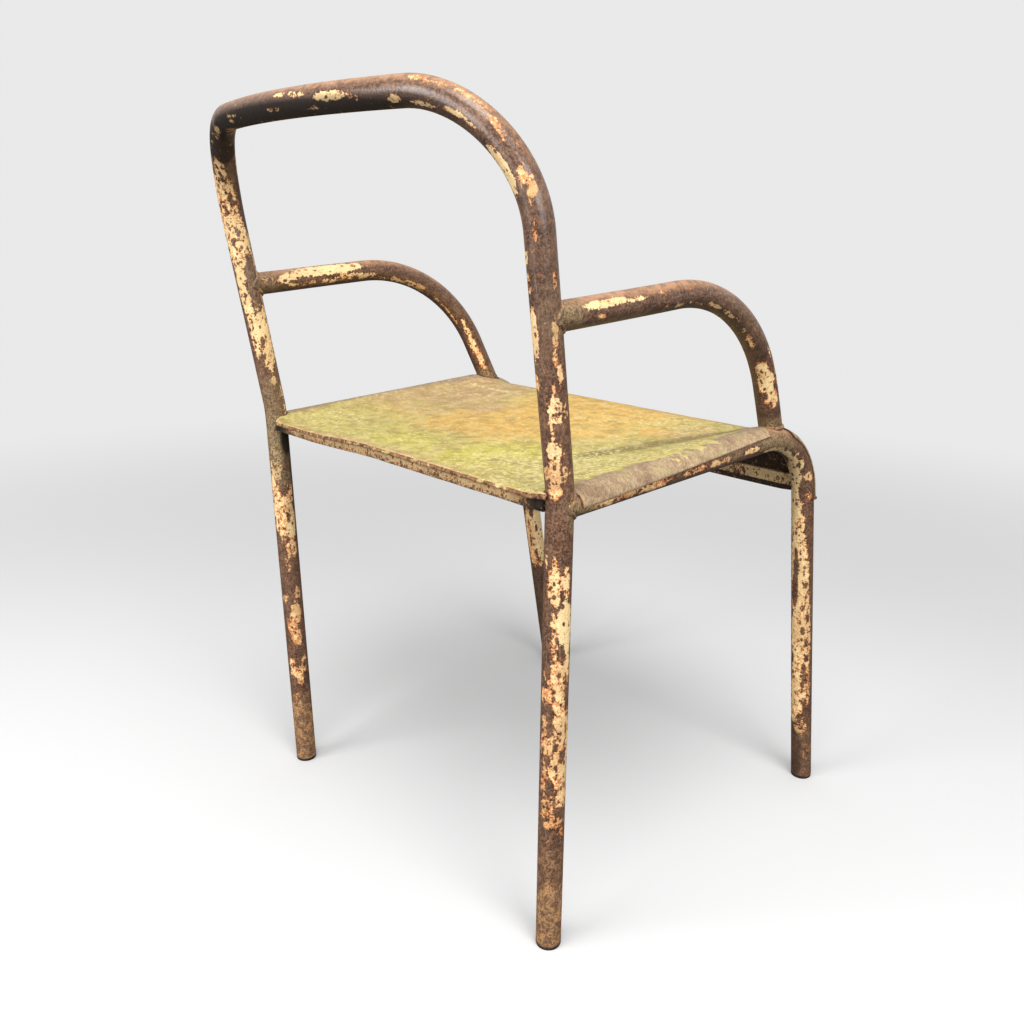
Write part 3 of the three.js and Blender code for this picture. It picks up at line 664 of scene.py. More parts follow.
ARM_COATS = {
    "right": Coats(
        seed=11,
        paint=[
            (54, -6, 25, 18, 0.95, 0.15), (92, 0, 13, 9, 0.8, 0.2), (51, 38, 7, 8, 0.66, 0.95),
            (136, 58, 16, 14, 0.55, 0.4), (176, 56, 16, 9, 0.5, 0.5), (203, 50, 12, 9, 0.76, 0.5),
            (231, 48, 11, 11, 0.78, 0.5), (248, 38, 4, 6, 0.56, 0.4), (267, 42, 5, 12, 0.56, 0.4),
            (288, 36, 11, 16, 0.8, 0.65), (318, -36, 8, 9, 0.62, 0.4), (335, 22, 12, 32, 0.9, 0.5),
            (352, 8, 16, 42, 0.94, 0.4), (371, -8, 12, 34, 0.88, 0.75), (348, -72, 16, 22, 0.8, 0.2),
            (160, -12, 60, 12, 0.3, 0.6),
        ],
        bare=[(368, 26, 5, 9, 0.9), (379, 2, 4, 8, 0.8), (350, 34, 5, 6, 0.8), (358, -30, 5, 8, 0.7),
              (288, 20, 6, 6, 0.7)],
        dirt=[(8, 0, 20, 180, 0.75), (410, 0, 14, 180, 0.8), (230, -10, 60, 20, 0.2)],
        painted_shade=[(250, 72, 170, 36, 0.55), (60, 75, 60, 30, 0.4), (310, 20, 14, 50, 0.5),
              (392, 0, 7, 90, 0.35)],
    ),
    "left": Coats(
        seed=13,
        paint=[
            (98, -14, 50, 34, 0.96, 0.1), (48, 14, 16, 26, 0.86, 0.2), (24, 8, 16, 20, 0.54, 0.6),
            (125, 44, 38, 22, 0.68, 0.3), (66, 46, 20, 14, 0.62, 0.4), (199, 60, 8, 18, 0.72, 0.4),
            (224, 44, 9, 14, 0.76, 0.4), (240, 36, 8, 14, 0.78, 0.7), (222, 60, 30, 12, 0.6, 0.4),
            (292, 42, 34, 9, 0.62, 0.7), (326, 0, 6, 11, 0.8, 0.4), (340, 6, 8, 20, 0.82, 0.5),
            (360, 10, 12, 24, 0.88, 0.5), (383, -2, 17, 20, 0.86, 0.85), (404, -14, 6, 12, 0.7, 0.9),
            (180, 62, 20, 10, 0.5, 0.3),
        ],
        bare=[(58, 32, 14, 10, 0.9), (98, 27, 14, 8, 0.9), (20, -20, 18, 16, 0.6),
              (352, 26, 5, 8, 0.7)],
        dirt=[(8, 0, 22, 180, 0.5), (412, 0, 12, 180, 0.6)],
        painted_shade=[(250, 75, 170, 36, 0.6), (45, 62, 40, 20, 0.4), (250, 20, 60, 26, 0.25)],
    ),
}


# Materials

class NodeDesk:
    """Adds nodes to one tree and links them."""

    def __init__(self, tree):
        self.tree = tree
        tree.nodes.clear()

    def node(self, kind, inputs=(), **settings):
        made = self.tree.nodes.new(kind)
        for key, value in settings.items():
            setattr(made, key, value)
        self.feed_all(made.inputs, dict(inputs))
        return made

    def feed_all(self, sockets, values):
        for title, value in values.items():
            self.feed(sockets[title], value)

    def feed(self, socket, value):
        if isinstance(value, bpy.types.NodeSocket):
            self.tree.links.new(value, socket)
        elif isinstance(value, bpy.types.Node):
            self.tree.links.new(value.outputs[0], socket)
        elif socket.type == "RGBA" and len(value) == 3:
            socket.default_value = (*value, 1)
        else:
            socket.default_value = value

    def math(self, operation, *values):
        made = self.node("ShaderNodeMath", operation=operation)
        for socket, value in zip(made.inputs, values):
            self.feed(socket, value)
        return made.outputs[0]

    def times(self, first, *others):
        for other in others:
            first = self.math("MULTIPLY", first, other)
        return first

    def line(self, value, slope, start):
        return self.math("MULTIPLY_ADD", value, slope, start)

    def rest(self, share):
        return self.math("SUBTRACT", 1.0, share)

    def swayed(self, base, grain, amount):
        """A value moved up and down by a grain that lies round one half."""
        return self.line(self.math("SUBTRACT", grain, 0.5), amount, base)

    def ramp(self, value, low, high, to_low=0.0, to_high=1.0):
        """A smooth step of a value between two limits."""
        made = self.node("ShaderNodeMapRange", {
            "Value": value, "From Min": low, "From Max": high,
            "To Min": to_low, "To Max": to_high}, interpolation_type="SMOOTHSTEP")
        return made.outputs[0]

    def mix(self, share, first, second):
        made = self.node("ShaderNodeMix", data_type="RGBA")
        for index, value in ((0, share), (6, first), (7, second)):
            self.feed(made.inputs[index], value)
        return made.outputs[2]

    def layered(self, colour, *layers):
        """Each layer has the value that places it, its two limits, its strength and its tone."""
        for value, low, high, strength, tone in layers:
            colour = self.mix(self.ramp(value, low, high, 0, strength), colour, tone)
        return colour

    def grain(self, place, scale, detail, roughness):
        return self.node("ShaderNodeTexNoise", {
            "Vector": place, "Scale": scale, "Detail": detail, "Roughness": roughness}).outputs[0]

    def stretched(self, place, scale):
        return self.node("ShaderNodeMapping", {"Vector": place, "Scale": scale}).outputs[0]

    def channels(self, colour):
        return self.node("ShaderNodeSeparateColor", {"Color": colour}).outputs

    def axes(self, vector):
        return self.node("ShaderNodeSeparateXYZ", {"Vector": vector}).outputs

    def attribute(self, name):
        return self.node("ShaderNodeAttribute", attribute_name=name).outputs

    def spots(self, place, scale):
        """Distance from the nearest of many scattered spots, and that spot's own chance."""
        made = self.node("ShaderNodeTexVoronoi", {"Vector": place, "Scale": scale}).outputs
        return made["Distance"], self.channels(made["Color"])[0]


def new_group(name, numbers, colours, measures):
    """A group that takes a place, numbers and colours and gives a colour and measures."""
    group = bpy.data.node_groups.new(name, "ShaderNodeTree")
    add_socket = group.interface.new_socket
    add_socket("Place", in_out="INPUT", socket_type="NodeSocketVector")
    for title, default in numbers.items():
        socket = add_socket(title, in_out="INPUT", socket_type="NodeSocketFloat")
        socket.default_value = default
    for title in colours:
        socket = add_socket(title, in_out="INPUT", socket_type="NodeSocketColor")
        socket.default_value = (0.5, 0.5, 0.5, 1)
    add_socket("Colour", in_out="OUTPUT", socket_type="NodeSocketColor")
    for title in measures:
        add_socket(title, in_out="OUTPUT", socket_type="NodeSocketFloat")
    desk = NodeDesk(group)
    return group, desk, desk.node("NodeGroupInput").outputs, desk.node("NodeGroupOutput").inputs


def holding_paint(desk, given, grain):
    """Where the paint holds, where it is cream, its frayed edge, and its pits and their rims."""
    edge = given["Cover"]
    for pattern, amount in ((grain.blotch, 1.7), (grain.ragged, 1.45), (grain.fine, 0.6)):
        edge = desk.swayed(edge, pattern, amount)
    near, chance = desk.spots(desk.stretched(given["Place"], (1, 1, 0.7)), 250)
    pit_size = desk.times(desk.math("SUBTRACT", chance, 0.5), 0.95)
    pit_size = desk.swayed(pit_size, grain.fine, 0.5)
    inside = desk.math("SUBTRACT", pit_size, near)
    pit = desk.ramp(inside, -0.01, 0.03)
    lift = desk.swayed(desk.line(given["Stain"], -0.5, edge), grain.broad, 0.6)
    return SimpleNamespace(
        edge=edge, pit=pit, rim=desk.ramp(inside, -0.12, 0.0, 0, 0.75),
        holds=desk.times(desk.ramp(edge, 0.485, 0.52), desk.rest(pit)),
        cream=desk.ramp(lift, 0.36, 0.5))


def bare_metal(desk, given, grain, paint, dust_and_sheen):
    """Rusted steel, redder round the flaking paint, lighter on its upper side with dust and a painted
    sheen of the light from above.
    """
    metal = desk.mix(desk.ramp(grain.ragged, 0.38, 0.62), given["Dark Metal"], given["Metal"])
    metal = desk.layered(
        metal,
        (grain.broad, 0.4, 0.62, 0.4, given["Metal"]),
        (grain.blotch, 0.54, 0.36, 0.6, given["Dark Metal"]),
        (grain.streak, 0.55, 0.7, 0.35, (0.33, 0.22, 0.15)),
        (grain.fine, 0.58, 0.7, 0.5, (0.42, 0.31, 0.23)),
        (grain.fine, 0.4, 0.3, 0.55, (0.03, 0.018, 0.012)))
    halo = desk.times(desk.ramp(paint.edge, 0.40, 0.5, 0, 0.6), desk.rest(paint.pit))
    metal = desk.mix(halo, metal, given["Rust"])
    return desk.mix(dust_and_sheen, metal, (0.68, 0.36, 0.19))


def two_coats(desk, given, grain, paint):
    """Cream over orange, stained by rust, with thin rusty veins."""
    coats = desk.mix(desk.ramp(paint.edge, 0.5, 0.62), given["Rust"], given["Orange Coat"])
    coats = desk.mix(paint.cream, coats, given["Cream Coat"])
    coats = desk.mix(paint.rim, coats, given["Orange Coat"])
    coats = desk.layered(coats, (grain.streak, 0.48, 0.68, 0.4, (0.70, 0.36, 0.15)))
    tint = desk.times(desk.ramp(grain.broad, 0.42, 0.58), desk.line(given["Stain"], 0.8, 0.1))
    coats = desk.mix(tint, coats, (0.74, 0.43, 0.19))
    coats = desk.mix(desk.ramp(grain.fine, 0.3, 0.5, 0.4, 0.0), coats, (0.42, 0.2, 0.08))
    vein = desk.math("ABSOLUTE", desk.math("SUBTRACT", grain.winding, 0.5))
    vein = desk.times(desk.ramp(vein, 0.02, 0.004, 0, 0.85), desk.ramp(paint.edge, 0.95, 0.7))
    return desk.mix(vein, coats, (0.28, 0.12, 0.05))


def dirt_tone(desk, given, grain):
    """Tan dust low on the legs and green grey moss higher up."""
    moss = desk.mix(desk.ramp(grain.ragged, 0.38, 0.56), (0.11, 0.08, 0.045),
                    given["Dirt Colour"])
    moss = desk.layered(moss, (grain.fine, 0.54, 0.66, 0.7, (0.62, 0.53, 0.30)))
    dust = desk.mix(desk.ramp(grain.blotch, 0.4, 0.62, 0.35, 1.0), (0.20, 0.11, 0.06),
                    given["Dust Colour"])
    dust = desk.layered(
        dust,
        (grain.ragged, 0.54, 0.4, 0.8, (0.13, 0.065, 0.035)),
        (grain.fine, 0.54, 0.66, 0.5, (0.62, 0.42, 0.24)))
    return desk.mix(desk.ramp(given["Height"], 0.12, 0.22), dust, moss)


def darkness(desk, given, grain, holds):
    """Painted shade in the corners and on the undersides, fainter on the paint."""
    # Painted shade on the faces that look downwards
    below = desk.times(desk.ramp(given["Upward"], -0.15, -0.9, 0, 0.62),
                       desk.line(holds, -0.6, 1.0))
    shade = given["Shade"]
    waver = desk.times(shade, desk.rest(shade), desk.math("SUBTRACT", grain.ragged, 0.5))
    shade = desk.times(desk.line(waver, 4.0, shade), desk.line(holds, -0.4, 0.96))
    return desk.math("MAXIMUM", shade, below)


def flaked_paint_group():
    """Two coats of paint that flake off rusted steel, with dirt over all of it."""
    if "flaked_paint" in bpy.data.node_groups:
        return bpy.data.node_groups["flaked_paint"]
    group, desk, given, result = new_group(
        "flaked_paint",
        {"Cover": 0.5, "Stain": 0.3, "Dirt": 0.0, "Shade": 0.0, "Upward": 0.0, "Height": 1.0},
        ("Dark Metal", "Metal", "Rust", "Orange Coat", "Cream Coat", "Dirt Colour",
         "Dust Colour"),
        ("Roughness", "Relief", "Polish"))
    place = given["Place"]
    grain = SimpleNamespace(
        blotch=desk.grain(place, 150, 3, 0.55), ragged=desk.grain(place, 430, 2, 0.55),
        fine=desk.grain(place, 1100, 2, 0.5), broad=desk.grain(place, 40, 3, 0.6),
        winding=desk.grain(place, 200, 3, 0.6),
        streak=desk.grain(desk.stretched(place, (1, 1, 0.15)), 420, 3, 0.6))
    paint = holding_paint(desk, given, grain)
    # Upper sides lighter: partly dust, partly a painted sheen of the light from above
    dust_and_sheen = desk.times(desk.ramp(given["Upward"], 0.3, 1.0, 0, 0.75),
                       desk.ramp(grain.blotch, 0.35, 0.6, 0.5, 1.0))
    film = desk.times(given["Dirt"], desk.ramp(grain.blotch, 0.38, 0.56, 0.5, 1.0))
    painted_shade = darkness(desk, given, grain, paint.holds)
    colour = desk.mix(paint.holds, bare_metal(desk, given, grain, paint, dust_and_sheen),
                      two_coats(desk, given, grain, paint))
    colour = desk.mix(film, colour, dirt_tone(desk, given, grain))

    roughness = desk.ramp(grain.broad, 0.3, 0.7, 0.34, 0.5)
    for share, amount in ((paint.holds, 0.14), (given["Shade"], 0.4), (dust_and_sheen, 0.2), (film, 0.25)):
        roughness = desk.line(share, amount, roughness)

    # Hands have polished the bare metal of the arms and the back
    polish = desk.times(desk.ramp(given["Height"], 0.42, 0.66, 0, 0.95),
                        desk.ramp(grain.broad, 0.36, 0.6, 0.45, 1.0),
                        desk.rest(paint.holds), desk.rest(painted_shade), desk.rest(film))
    # Painted shade takes the colour towards near black
    desk.feed_all(result, {
        "Colour": desk.mix(painted_shade, colour, (0.012, 0.008, 0.006)), "Roughness": roughness,
        "Relief": desk.line(grain.fine, 0.35, desk.line(grain.ragged, 0.5, paint.holds)),
        "Polish": polish})
    return group


def pan_growth(desk, given, grain):
    """Yellow green with blotches of ochre, green and tan, streaked and flecked."""
    def share(name, firmness=0.45):
        wander = desk.swayed(desk.swayed(given[name], grain.cloud, 1.1), grain.blotch, 1.0)
        return desk.ramp(wander, 0.5 - firmness, 0.5 + firmness)

    colour = desk.mix(desk.ramp(grain.blotch, 0.38, 0.62), (0.50, 0.41, 0.135),
                      given["Seat Colour"])
    for name in ("Ochre", "Green", "Tan"):
        colour = desk.mix(share(name), colour, given[f"{name} Colour"])
    colour = desk.mix(desk.times(share("Valley", 0.4), 0.85), colour, given["Valley Colour"])
    pale = desk.line(given["Flecks"], 0.14, grain.grit)
    return desk.layered(
        colour,
        (grain.cloud, 0.5, 0.32, 0.35, (0.42, 0.29, 0.10)),
        (grain.brushed, 0.5, 0.36, 0.5, (0.36, 0.24, 0.09)),
        (grain.brushed, 0.5, 0.62, 0.4, (0.82, 0.66, 0.33)),
        (grain.grit, 0.48, 0.34, 0.42, (0.30, 0.22, 0.07)),
        (grain.fine, 0.42, 0.3, 0.4, (0.25, 0.18, 0.06)),
        (grain.fine, 0.56, 0.7, 0.35, (0.84, 0.70, 0.29)),
        (pale, 0.57, 0.7, 0.75, (0.92, 0.81, 0.36)))


def worn_roll(desk, given, grain):
    """Grey brown of the rolled sides, with strokes along them and remains of yellow."""
    strokes = desk.grain(desk.stretched(given["Place"], (0.6, 1, 0.6)), 430, 4, 0.7)
    yellow = desk.swayed(desk.swayed(given["Yellow"], grain.grit, 1.4), grain.blotch, 1.2)
    return desk.layered(
        given["Roll Colour"],
        (strokes, 0.44, 0.6, 0.75, (0.58, 0.415, 0.265)),
        (strokes, 0.44, 0.32, 0.7, (0.24, 0.165, 0.11)),
        (grain.blotch, 0.5, 0.38, 0.6, (0.26, 0.18, 0.11)),
        (grain.blotch, 0.55, 0.66, 0.8, (0.60, 0.41, 0.27)),
        (grain.cloud, 0.52, 0.62, 0.45, (0.50, 0.41, 0.19)),
        (grain.cloud, 0.46, 0.34, 0.6, (0.20, 0.115, 0.065)),
        (yellow, 0.4, 0.6, 0.9, (0.74, 0.60, 0.22)),
        (grain.fine, 0.58, 0.7, 0.5, (0.80, 0.66, 0.46)))


def seat_growth_group():
    """Weathered yellow green sheet with worn sides and a rusty rear edge."""
    if "seat_growth" in bpy.data.node_groups:
        return bpy.data.node_groups["seat_growth"]
    shares = ("Ochre", "Green", "Tan", "Valley", "Roll", "Flecks", "Rust", "Yellow")
    group, desk, given, result = new_group(
        "seat_growth", dict.fromkeys(shares, 0.0),
        ("Seat Colour", "Ochre Colour", "Green Colour", "Tan Colour", "Valley Colour",
         "Roll Colour"),
        ("Roughness", "Relief"))
    place = given["Place"]
    grain = SimpleNamespace(
        cloud=desk.grain(place, 34, 5, 0.62), brushed=desk.grain(place, 66, 4, 0.66),
        blotch=desk.grain(place, 110, 5, 0.66), grit=desk.grain(place, 230, 5, 0.66),
        fine=desk.grain(place, 900, 2, 0.5))
    roll = desk.swayed(desk.swayed(given["Roll"], grain.blotch, 1.5), grain.grit, 1.3)
    colour = desk.mix(desk.ramp(roll, 0.36, 0.66), pan_growth(desk, given, grain),
                      worn_roll(desk, given, grain))
    rust = desk.swayed(desk.swayed(given["Rust"], grain.blotch, 1.4), grain.grit, 0.8)
    rusted = desk.mix(desk.ramp(grain.grit, 0.4, 0.6), (0.07, 0.03, 0.015), (0.34, 0.16, 0.08))
    desk.feed_all(result, {
        "Colour": desk.mix(desk.ramp(rust, 0.45, 0.58), colour, rusted),
        "Roughness": desk.ramp(grain.grit, 0.3, 0.7, 0.5, 0.75),
        "Relief": desk.line(grain.grit, 0.8, desk.line(grain.fine, 0.3, grain.blotch))})
    return group


RELIEF_STRENGTH = 0.6
PAINT_RELIEF = 0.0003
GROWTH_RELIEF = 0.0005
SHINE = 0.3
POLISH_ROUGHNESS = 0.27


def surface_material(name, group, values, relief_height):
    """A material whose colour, roughness and relief come from one node group."""
    if name in bpy.data.materials:
        return bpy.data.materials[name]
    material = bpy.data.materials.new(name)
    material.use_nodes = True
    desk = NodeDesk(material.node_tree)
    made = desk.node("ShaderNodeGroup", node_tree=group)
    desk.feed_all(made.inputs, values(desk))
    bump = desk.node("ShaderNodeBump", {
        "Strength": RELIEF_STRENGTH, "Distance": relief_height,
        "Height": made.outputs["Relief"]})
    shader = desk.node("ShaderNodeBsdfPrincipled", {
        "Base Color": made.outputs["Colour"], "Roughness": made.outputs["Roughness"],
        "Specular IOR Level": SHINE, "Normal": bump})
    if "Polish" in made.outputs:
        desk.feed_all(shader.inputs, {
            "Coat Weight": made.outputs["Polish"], "Coat Roughness": POLISH_ROUGHNESS})
    desk.node("ShaderNodeOutputMaterial", {"Surface": shader})
    return material


def painted_steel(chair, name, unrolled=True, fixed=()):
    """Flaking paint. Its shares come from the piece's wear attribute, unless they are fixed."""
    colours = chair.colour

    def values(desk):
        spot = desk.node("ShaderNodeTexCoord").outputs
        wear = desk.attribute("wear")
        shares = desk.channels(wear["Color"])
        return {
            "Place": desk.attribute("unrolled")["Vector"] if unrolled else spot["Object"],
            "Upward": desk.axes(spot["Normal"])[2], "Height": desk.axes(spot["Object"])[2],
            "Cover": shares[0], "Stain": shares[1], "Dirt": shares[2], "Shade": wear["Alpha"],
            "Dark Metal": colours.bare_dark, "Metal": colours.bare_mid, "Rust": colours.rust,
            "Orange Coat": colours.primer, "Cream Coat": colours.cream,
            "Dirt Colour": colours.dirt, "Dust Colour": colours.dust, **dict(fixed)}

    return surface_material(name, flaked_paint_group(), values, PAINT_RELIEF)


def seat_steel(chair):
    """The seat's growth. Its shares come from the sheet's zones and wear attributes."""
    colours = chair.colour

    def values(desk):
        zones = desk.attribute("zones")
        wear = desk.attribute("wear")
        tones = desk.channels(zones["Color"])
        edges = desk.channels(wear["Color"])
        return {
            "Place": desk.node("ShaderNodeTexCoord").outputs["Object"],
            "Ochre": tones[0], "Green": tones[1], "Tan": tones[2], "Valley": zones["Alpha"],
            "Roll": edges[0], "Flecks": edges[1], "Rust": edges[2], "Yellow": wear["Alpha"],
            "Seat Colour": colours.seat, "Ochre Colour": colours.ochre,
            "Green Colour": colours.green, "Tan Colour": colours.mauve,
            "Valley Colour": colours.valley, "Roll Colour": colours.roll}

    return surface_material("seat_growth_on_steel", seat_growth_group(), values, GROWTH_RELIEF)


# Finished pieces

def as_mesh(name, bm):
    mesh = bpy.data.meshes.new(name)
    bm.to_mesh(mesh)
    bm.free()
    return mesh


def in_scene(name, data):
    made = bpy.data.objects.new(name, data)
    bpy.context.scene.collection.objects.link(made)
    return made


def add_piece(name, bm, materials, nodes):
    mesh = as_mesh(name, bm)
    for material in materials:
        mesh.materials.append(material)
    piece = in_scene(name, mesh)
    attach(piece, "root")
    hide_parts(*nodes)
    return piece


def settle_modifiers(piece):
    """Makes the shape that the modifiers give the mesh itself."""
    graph = bpy.context.evaluated_depsgraph_get()
    shaped = bpy.data.meshes.new_from_object(piece.evaluated_get(graph))
    piece.modifiers.clear()
    old = piece.data
    piece.data = shaped
    shaped.name = piece.name
    bpy.data.meshes.remove(old)


def stand_along(bm, place, upward):
    """Turns the shape's Z to a direction and moves its origin to a place."""
    turn = Vector((0, 0, 1)).rotation_difference(upward).to_matrix().to_4x4()
    bmesh.ops.transform(bm, matrix=Matrix.Translation(place) @ turn, verts=bm.verts)


def colour_wear(bm, shares_at):
    """Keeps the cover, the stain, the dirt and the shade of every vertex."""
    layer = bm.verts.layers.float_color.new("wear")
    for vert in bm.verts:
        vert[layer] = shares_at(vert.co)


def raised(points, height):
    """The path with its first point moved up to a height."""
    start = next(i for i, point in enumerate(points) if point.z > height)
    low, high = points[start - 1], points[start]
    return [low.lerp(high, (height - low.z) / (high.z - low.z))] + points[start:]


class ARMCHAIR_OT_back_frame(bpy.types.Operator):
    """Bends the tube of the rear posts and the top rail"""

    bl_idname = "armchair.back_frame"
    bl_label = "Back Frame"
    bl_options = {"REGISTER", "UNDO"}

    def execute(self, context):
        chair = context.scene.armchair
        stock = chair.stock
        points = raised(back_path(chair), chair.foot.head)
        points = raised(points[::-1], chair.foot.head)[::-1]
        bm = tube_skin(tube_rings(points), stock, BACK_COATS, chair.foot.head)
        material = painted_steel(chair, "back_frame_paint")
        add_piece("back_frame", bm, [material], ["back_frame_tube"])
        return {"FINISHED"}


class ARMCHAIR_OT_side_frames(bpy.types.Operator):
    """Bends the tubes of the front legs and the seat rails"""

    bl_idname = "armchair.side_frames"
    bl_label = "Side Frames"
    bl_options = {"REGISTER", "UNDO"}

    def execute(self, context):
        chair = context.scene.armchair
        stock = chair.stock
        material = painted_steel(chair, "side_frame_paint")
        for name, side in SIDES.items():
            post = post_at(chair, side, rail_end(chair, side))
            points = raised(side_path(chair, side), chair.foot.head)
            clear = stock.tube_radius + stock.spacing / 2
            points = [point for point in points if (point - post[0]).length > clear]
            bm = tube_skin(tube_rings(points, end_carrier=post), stock, SIDE_COATS[name],
                           chair.foot.head)
            add_piece(f"side_frame_{name}", bm, [material], [f"side_tube_{name}"])
        return {"FINISHED"}


def nearest_on_rail(chair, side, place):
    """The rail's axis beside a place, and the rail's direction."""
    rail = side_path(chair, side)
    along = unit(rail[-1] - rail[-2])
    return rail[-1] + along * (place - rail[-1]).dot(along), along


class ARMCHAIR_OT_arms(bpy.types.Operator):
    """Bends the tubes of the arms"""

    bl_idname = "armchair.arms"
    bl_label = "Arms"
    bl_options = {"REGISTER", "UNDO"}

    def execute(self, context):
        chair = context.scene.armchair
        stock = chair.stock
        material = painted_steel(chair, "arm_paint")
        for name, side in SIDES.items():
            points = arm_path(chair, side)
            post = post_at(chair, side, chair.arm.post_height)
            rail = nearest_on_rail(chair, side, points[-1])
            clear = stock.tube_radius + stock.spacing
            kept = [(point, length) for point, length in zip(points, running_lengths(points))
                    if (point - points[0]).length > clear and (point - rail[0]).length > clear]
            rings = tube_rings([point for point, _ in kept], post, rail)
            bm = tube_skin(rings, stock, ARM_COATS[name], kept[0][1])
            add_piece(f"arm_{name}", bm, [material], [f"arm_tube_{name}"])
        return {"FINISHED"}


# Seat sheet

ROLL_COLUMNS = 12
PAN_COLUMNS = 66
RIM_STEPS = 5

# The leg counts as straight up to this angle in radians
STRAIGHT_WITHIN = 0.004

# Lengths in metres, going forward, over which the sheet's wrap, its slope beside the rails
# and the shape of its rear edge change
WRAP_FROM, WRAP_OVER = 0.05, 0.24
SLOPE_OVER = 0.30
EDGE_OVER = 0.1


def seat_stations(chair):
    """Places along the left rail with the directions along it and out of its upper side."""
    size = chair.seat
    rail = side_path(chair, -1)
    for point in rail:
        point.x = -point.x
    straight_leg = unit(rail[1] - rail[0])
    bend_start = next(i for i in range(1, len(rail) - 1)
                      if unit(rail[i + 1] - rail[i]).angle(straight_leg) > STRAIGHT_WITHIN)
    first = rail[bend_start] - straight_leg * size.below_bend
    last_y = knee_place(chair) + size.rear_edge - size.rim_radius
    points = [first, first.lerp(rail[bend_start], 0.5)]
    points += [point for point in rail[bend_start:] if point.y < last_y]
    along_rail = unit(rail[-1] - rail[-2])
    while points[-1].y + along_rail.y * chair.stock.spacing < last_y:
        points.append(points[-1] + along_rail * chair.stock.spacing)
    points.append(points[-1] + along_rail * ((last_y - points[-1].y) / along_rail.y))
    stations = []
    for i, point in enumerate(points):
        along = unit(points[min(i + 1, len(points) - 1)] - points[max(i - 1, 0)])
        outward = unit(Vector((1, 0, 0)).cross(along))
        stations.append((point, along, outward, 0.0))
    point, along, outward, _ = stations[-1]
    for step in range(1, RIM_STEPS + 1):
        stations.append((point, along, outward, math.radians(90) * step / RIM_STEPS))
    return stations


def rolled_side(chair, knee, station, step):
    """Place on the rail's skin, under the sheet's rolled side, and the normal there."""
    size = chair.seat
    point, _, outward, _ = station
    forward = clamp((knee - point.y - WRAP_FROM) / WRAP_OVER)
    wrap = size.rear_wrap + (size.front_wrap - size.rear_wrap) * forward
    angle = wrap * step / ROLL_COLUMNS
    normal = outward * math.cos(angle) + Vector((math.sin(angle), 0, 0))
    return point + normal * chair.stock.tube_radius, normal


def dished_pan(chair, knee, station, count):
    """Place on the underside of the pan and the normal there."""
    size = chair.seat
    point, _, outward, _ = station
    forward = clamp((knee - point.y) / SLOPE_OVER)
    slope = size.dish_slope + (size.front_slope - size.dish_slope) * forward
    inboard = point.x * (1 - count / PAN_COLUMNS)
    share = min(1.0, inboard / slope)
    sink = size.dish_depth * smooth(share)
    tilt = size.dish_depth * 6 * share * (1 - share) / slope
    edge = smooth(1 - (knee + size.rear_edge - point.y) / EDGE_OVER)
    sink += (size.edge_depth * smooth(inboard / size.edge_slope) - sink) * edge
    tilt *= 1 - edge
    place = point + outward * (chair.stock.tube_radius - sink)
    place.x -= inboard
    return place, unit(outward - Vector((tilt, 0, 0)))


def seat_cell(chair, knee, station, column):
    """Place and normal on the sheet's outer face. Columns count from the middle outwards."""
    size = chair.seat
    side = 1 if column >= 0 else -1
    count = abs(column)
    if count > PAN_COLUMNS:
        place, normal = rolled_side(chair, knee, station, count - PAN_COLUMNS)
    else:
        place, normal = dished_pan(chair, knee, station, count)
    _, along, _, turn = station
    if turn > 0:
        turned = normal * math.cos(turn) + along * math.sin(turn)
        place = place - normal * size.rim_radius + turned * size.rim_radius
        normal = turned
    place = place + normal * (chair.stock.sheet_gap + chair.stock.sheet_thickness)
    place.x *= side
    place.z -= left_sag(chair, place.x, place.y - knee)
    return place, Vector((side * normal.x, normal.y, normal.z))


# Tones on the seat. Each has its middle across and behind the knee of the posts in
# millimetres, half its width, half its depth and its strength.

SEAT_TONES = {
    "ochre": [
        (10, -175, 95, 70, 0.95), (-10, -280, 110, 70, 0.95), (60, -140, 40, 60, 0.9),
        (-60, -200, 70, 60, 0.8), (0, -110, 80, 30, 0.62), (-148, -235, 22, 20, 0.85),
        (205, -120, 30, 50, 0.35), (-60, -320, 100, 22, 0.9), (150, -130, 60, 40, 0.45),
    ],
    "green": [
        (-75, -45, 30, 45, 0.95), (20, -28, 60, 26, 0.66), (-100, -85, 30, 24, 0.75),
        (-232, -130, 9, 90, 0.9), (-130, -20, 60, 18, 0.4), (160, -25, 40, 20, 0.3),
        (-190, -130, 30, 60, 0.35), (70, -60, 60, 20, 0.4),
    ],
    "tan": [
        (170, -250, 60, 80, 0.85), (215, -190, 26, 80, 0.75), (120, -205, 50, 40, 0.6),
        (75, -195, 16, 26, 0.85), (215, -300, 40, 26, 0.9), (120, -310, 60, 16, 0.6),
        (-180, -250, 26, 30, 0.6), (150, -160, 60, 40, 0.5), (-120, -320, 80, 12, 0.5),
        (60, 12, 220, 8, 0.55), (109, -226, 20, 7, 0.95),
    ],
    "flecks": [
        (-190, -70, 55, 75, 0.9), (-225, -170, 26, 70, 0.8), (-120, -40, 50, 40, 0.6),
        (150, -240, 50, 10, 0.5), (180, -40, 50, 40, 0.4), (-150, -280, 60, 40, 0.4),
        (60, -30, 90, 30, 0.35), (-60, -240, 30, 20, 0.3), (165, -278, 46, 5, 1.0),
    ],
    "yellow": [
        (-225, -140, 7, 32, 1.0), (-232, -190, 8, 9, 0.95), (-230, -216, 9, 7, 0.85),
        (-238, -160, 10, 30, 0.42), (-226, -60, 4, 20, 0.5), (228, -120, 8, 60, 0.5),
        (100, -345, 60, 10, 0.35), (-120, -350, 40, 8, 0.35),
    ],
}


def tone_share(kind, across, behind):
    total = 0.0
    for tone in SEAT_TONES[kind]:
        distance = math.hypot((across - tone[0]) / tone[2], (behind - tone[1]) / tone[3])
        total = max(total, tone[4] * clamp(1.6 - distance))
    return total


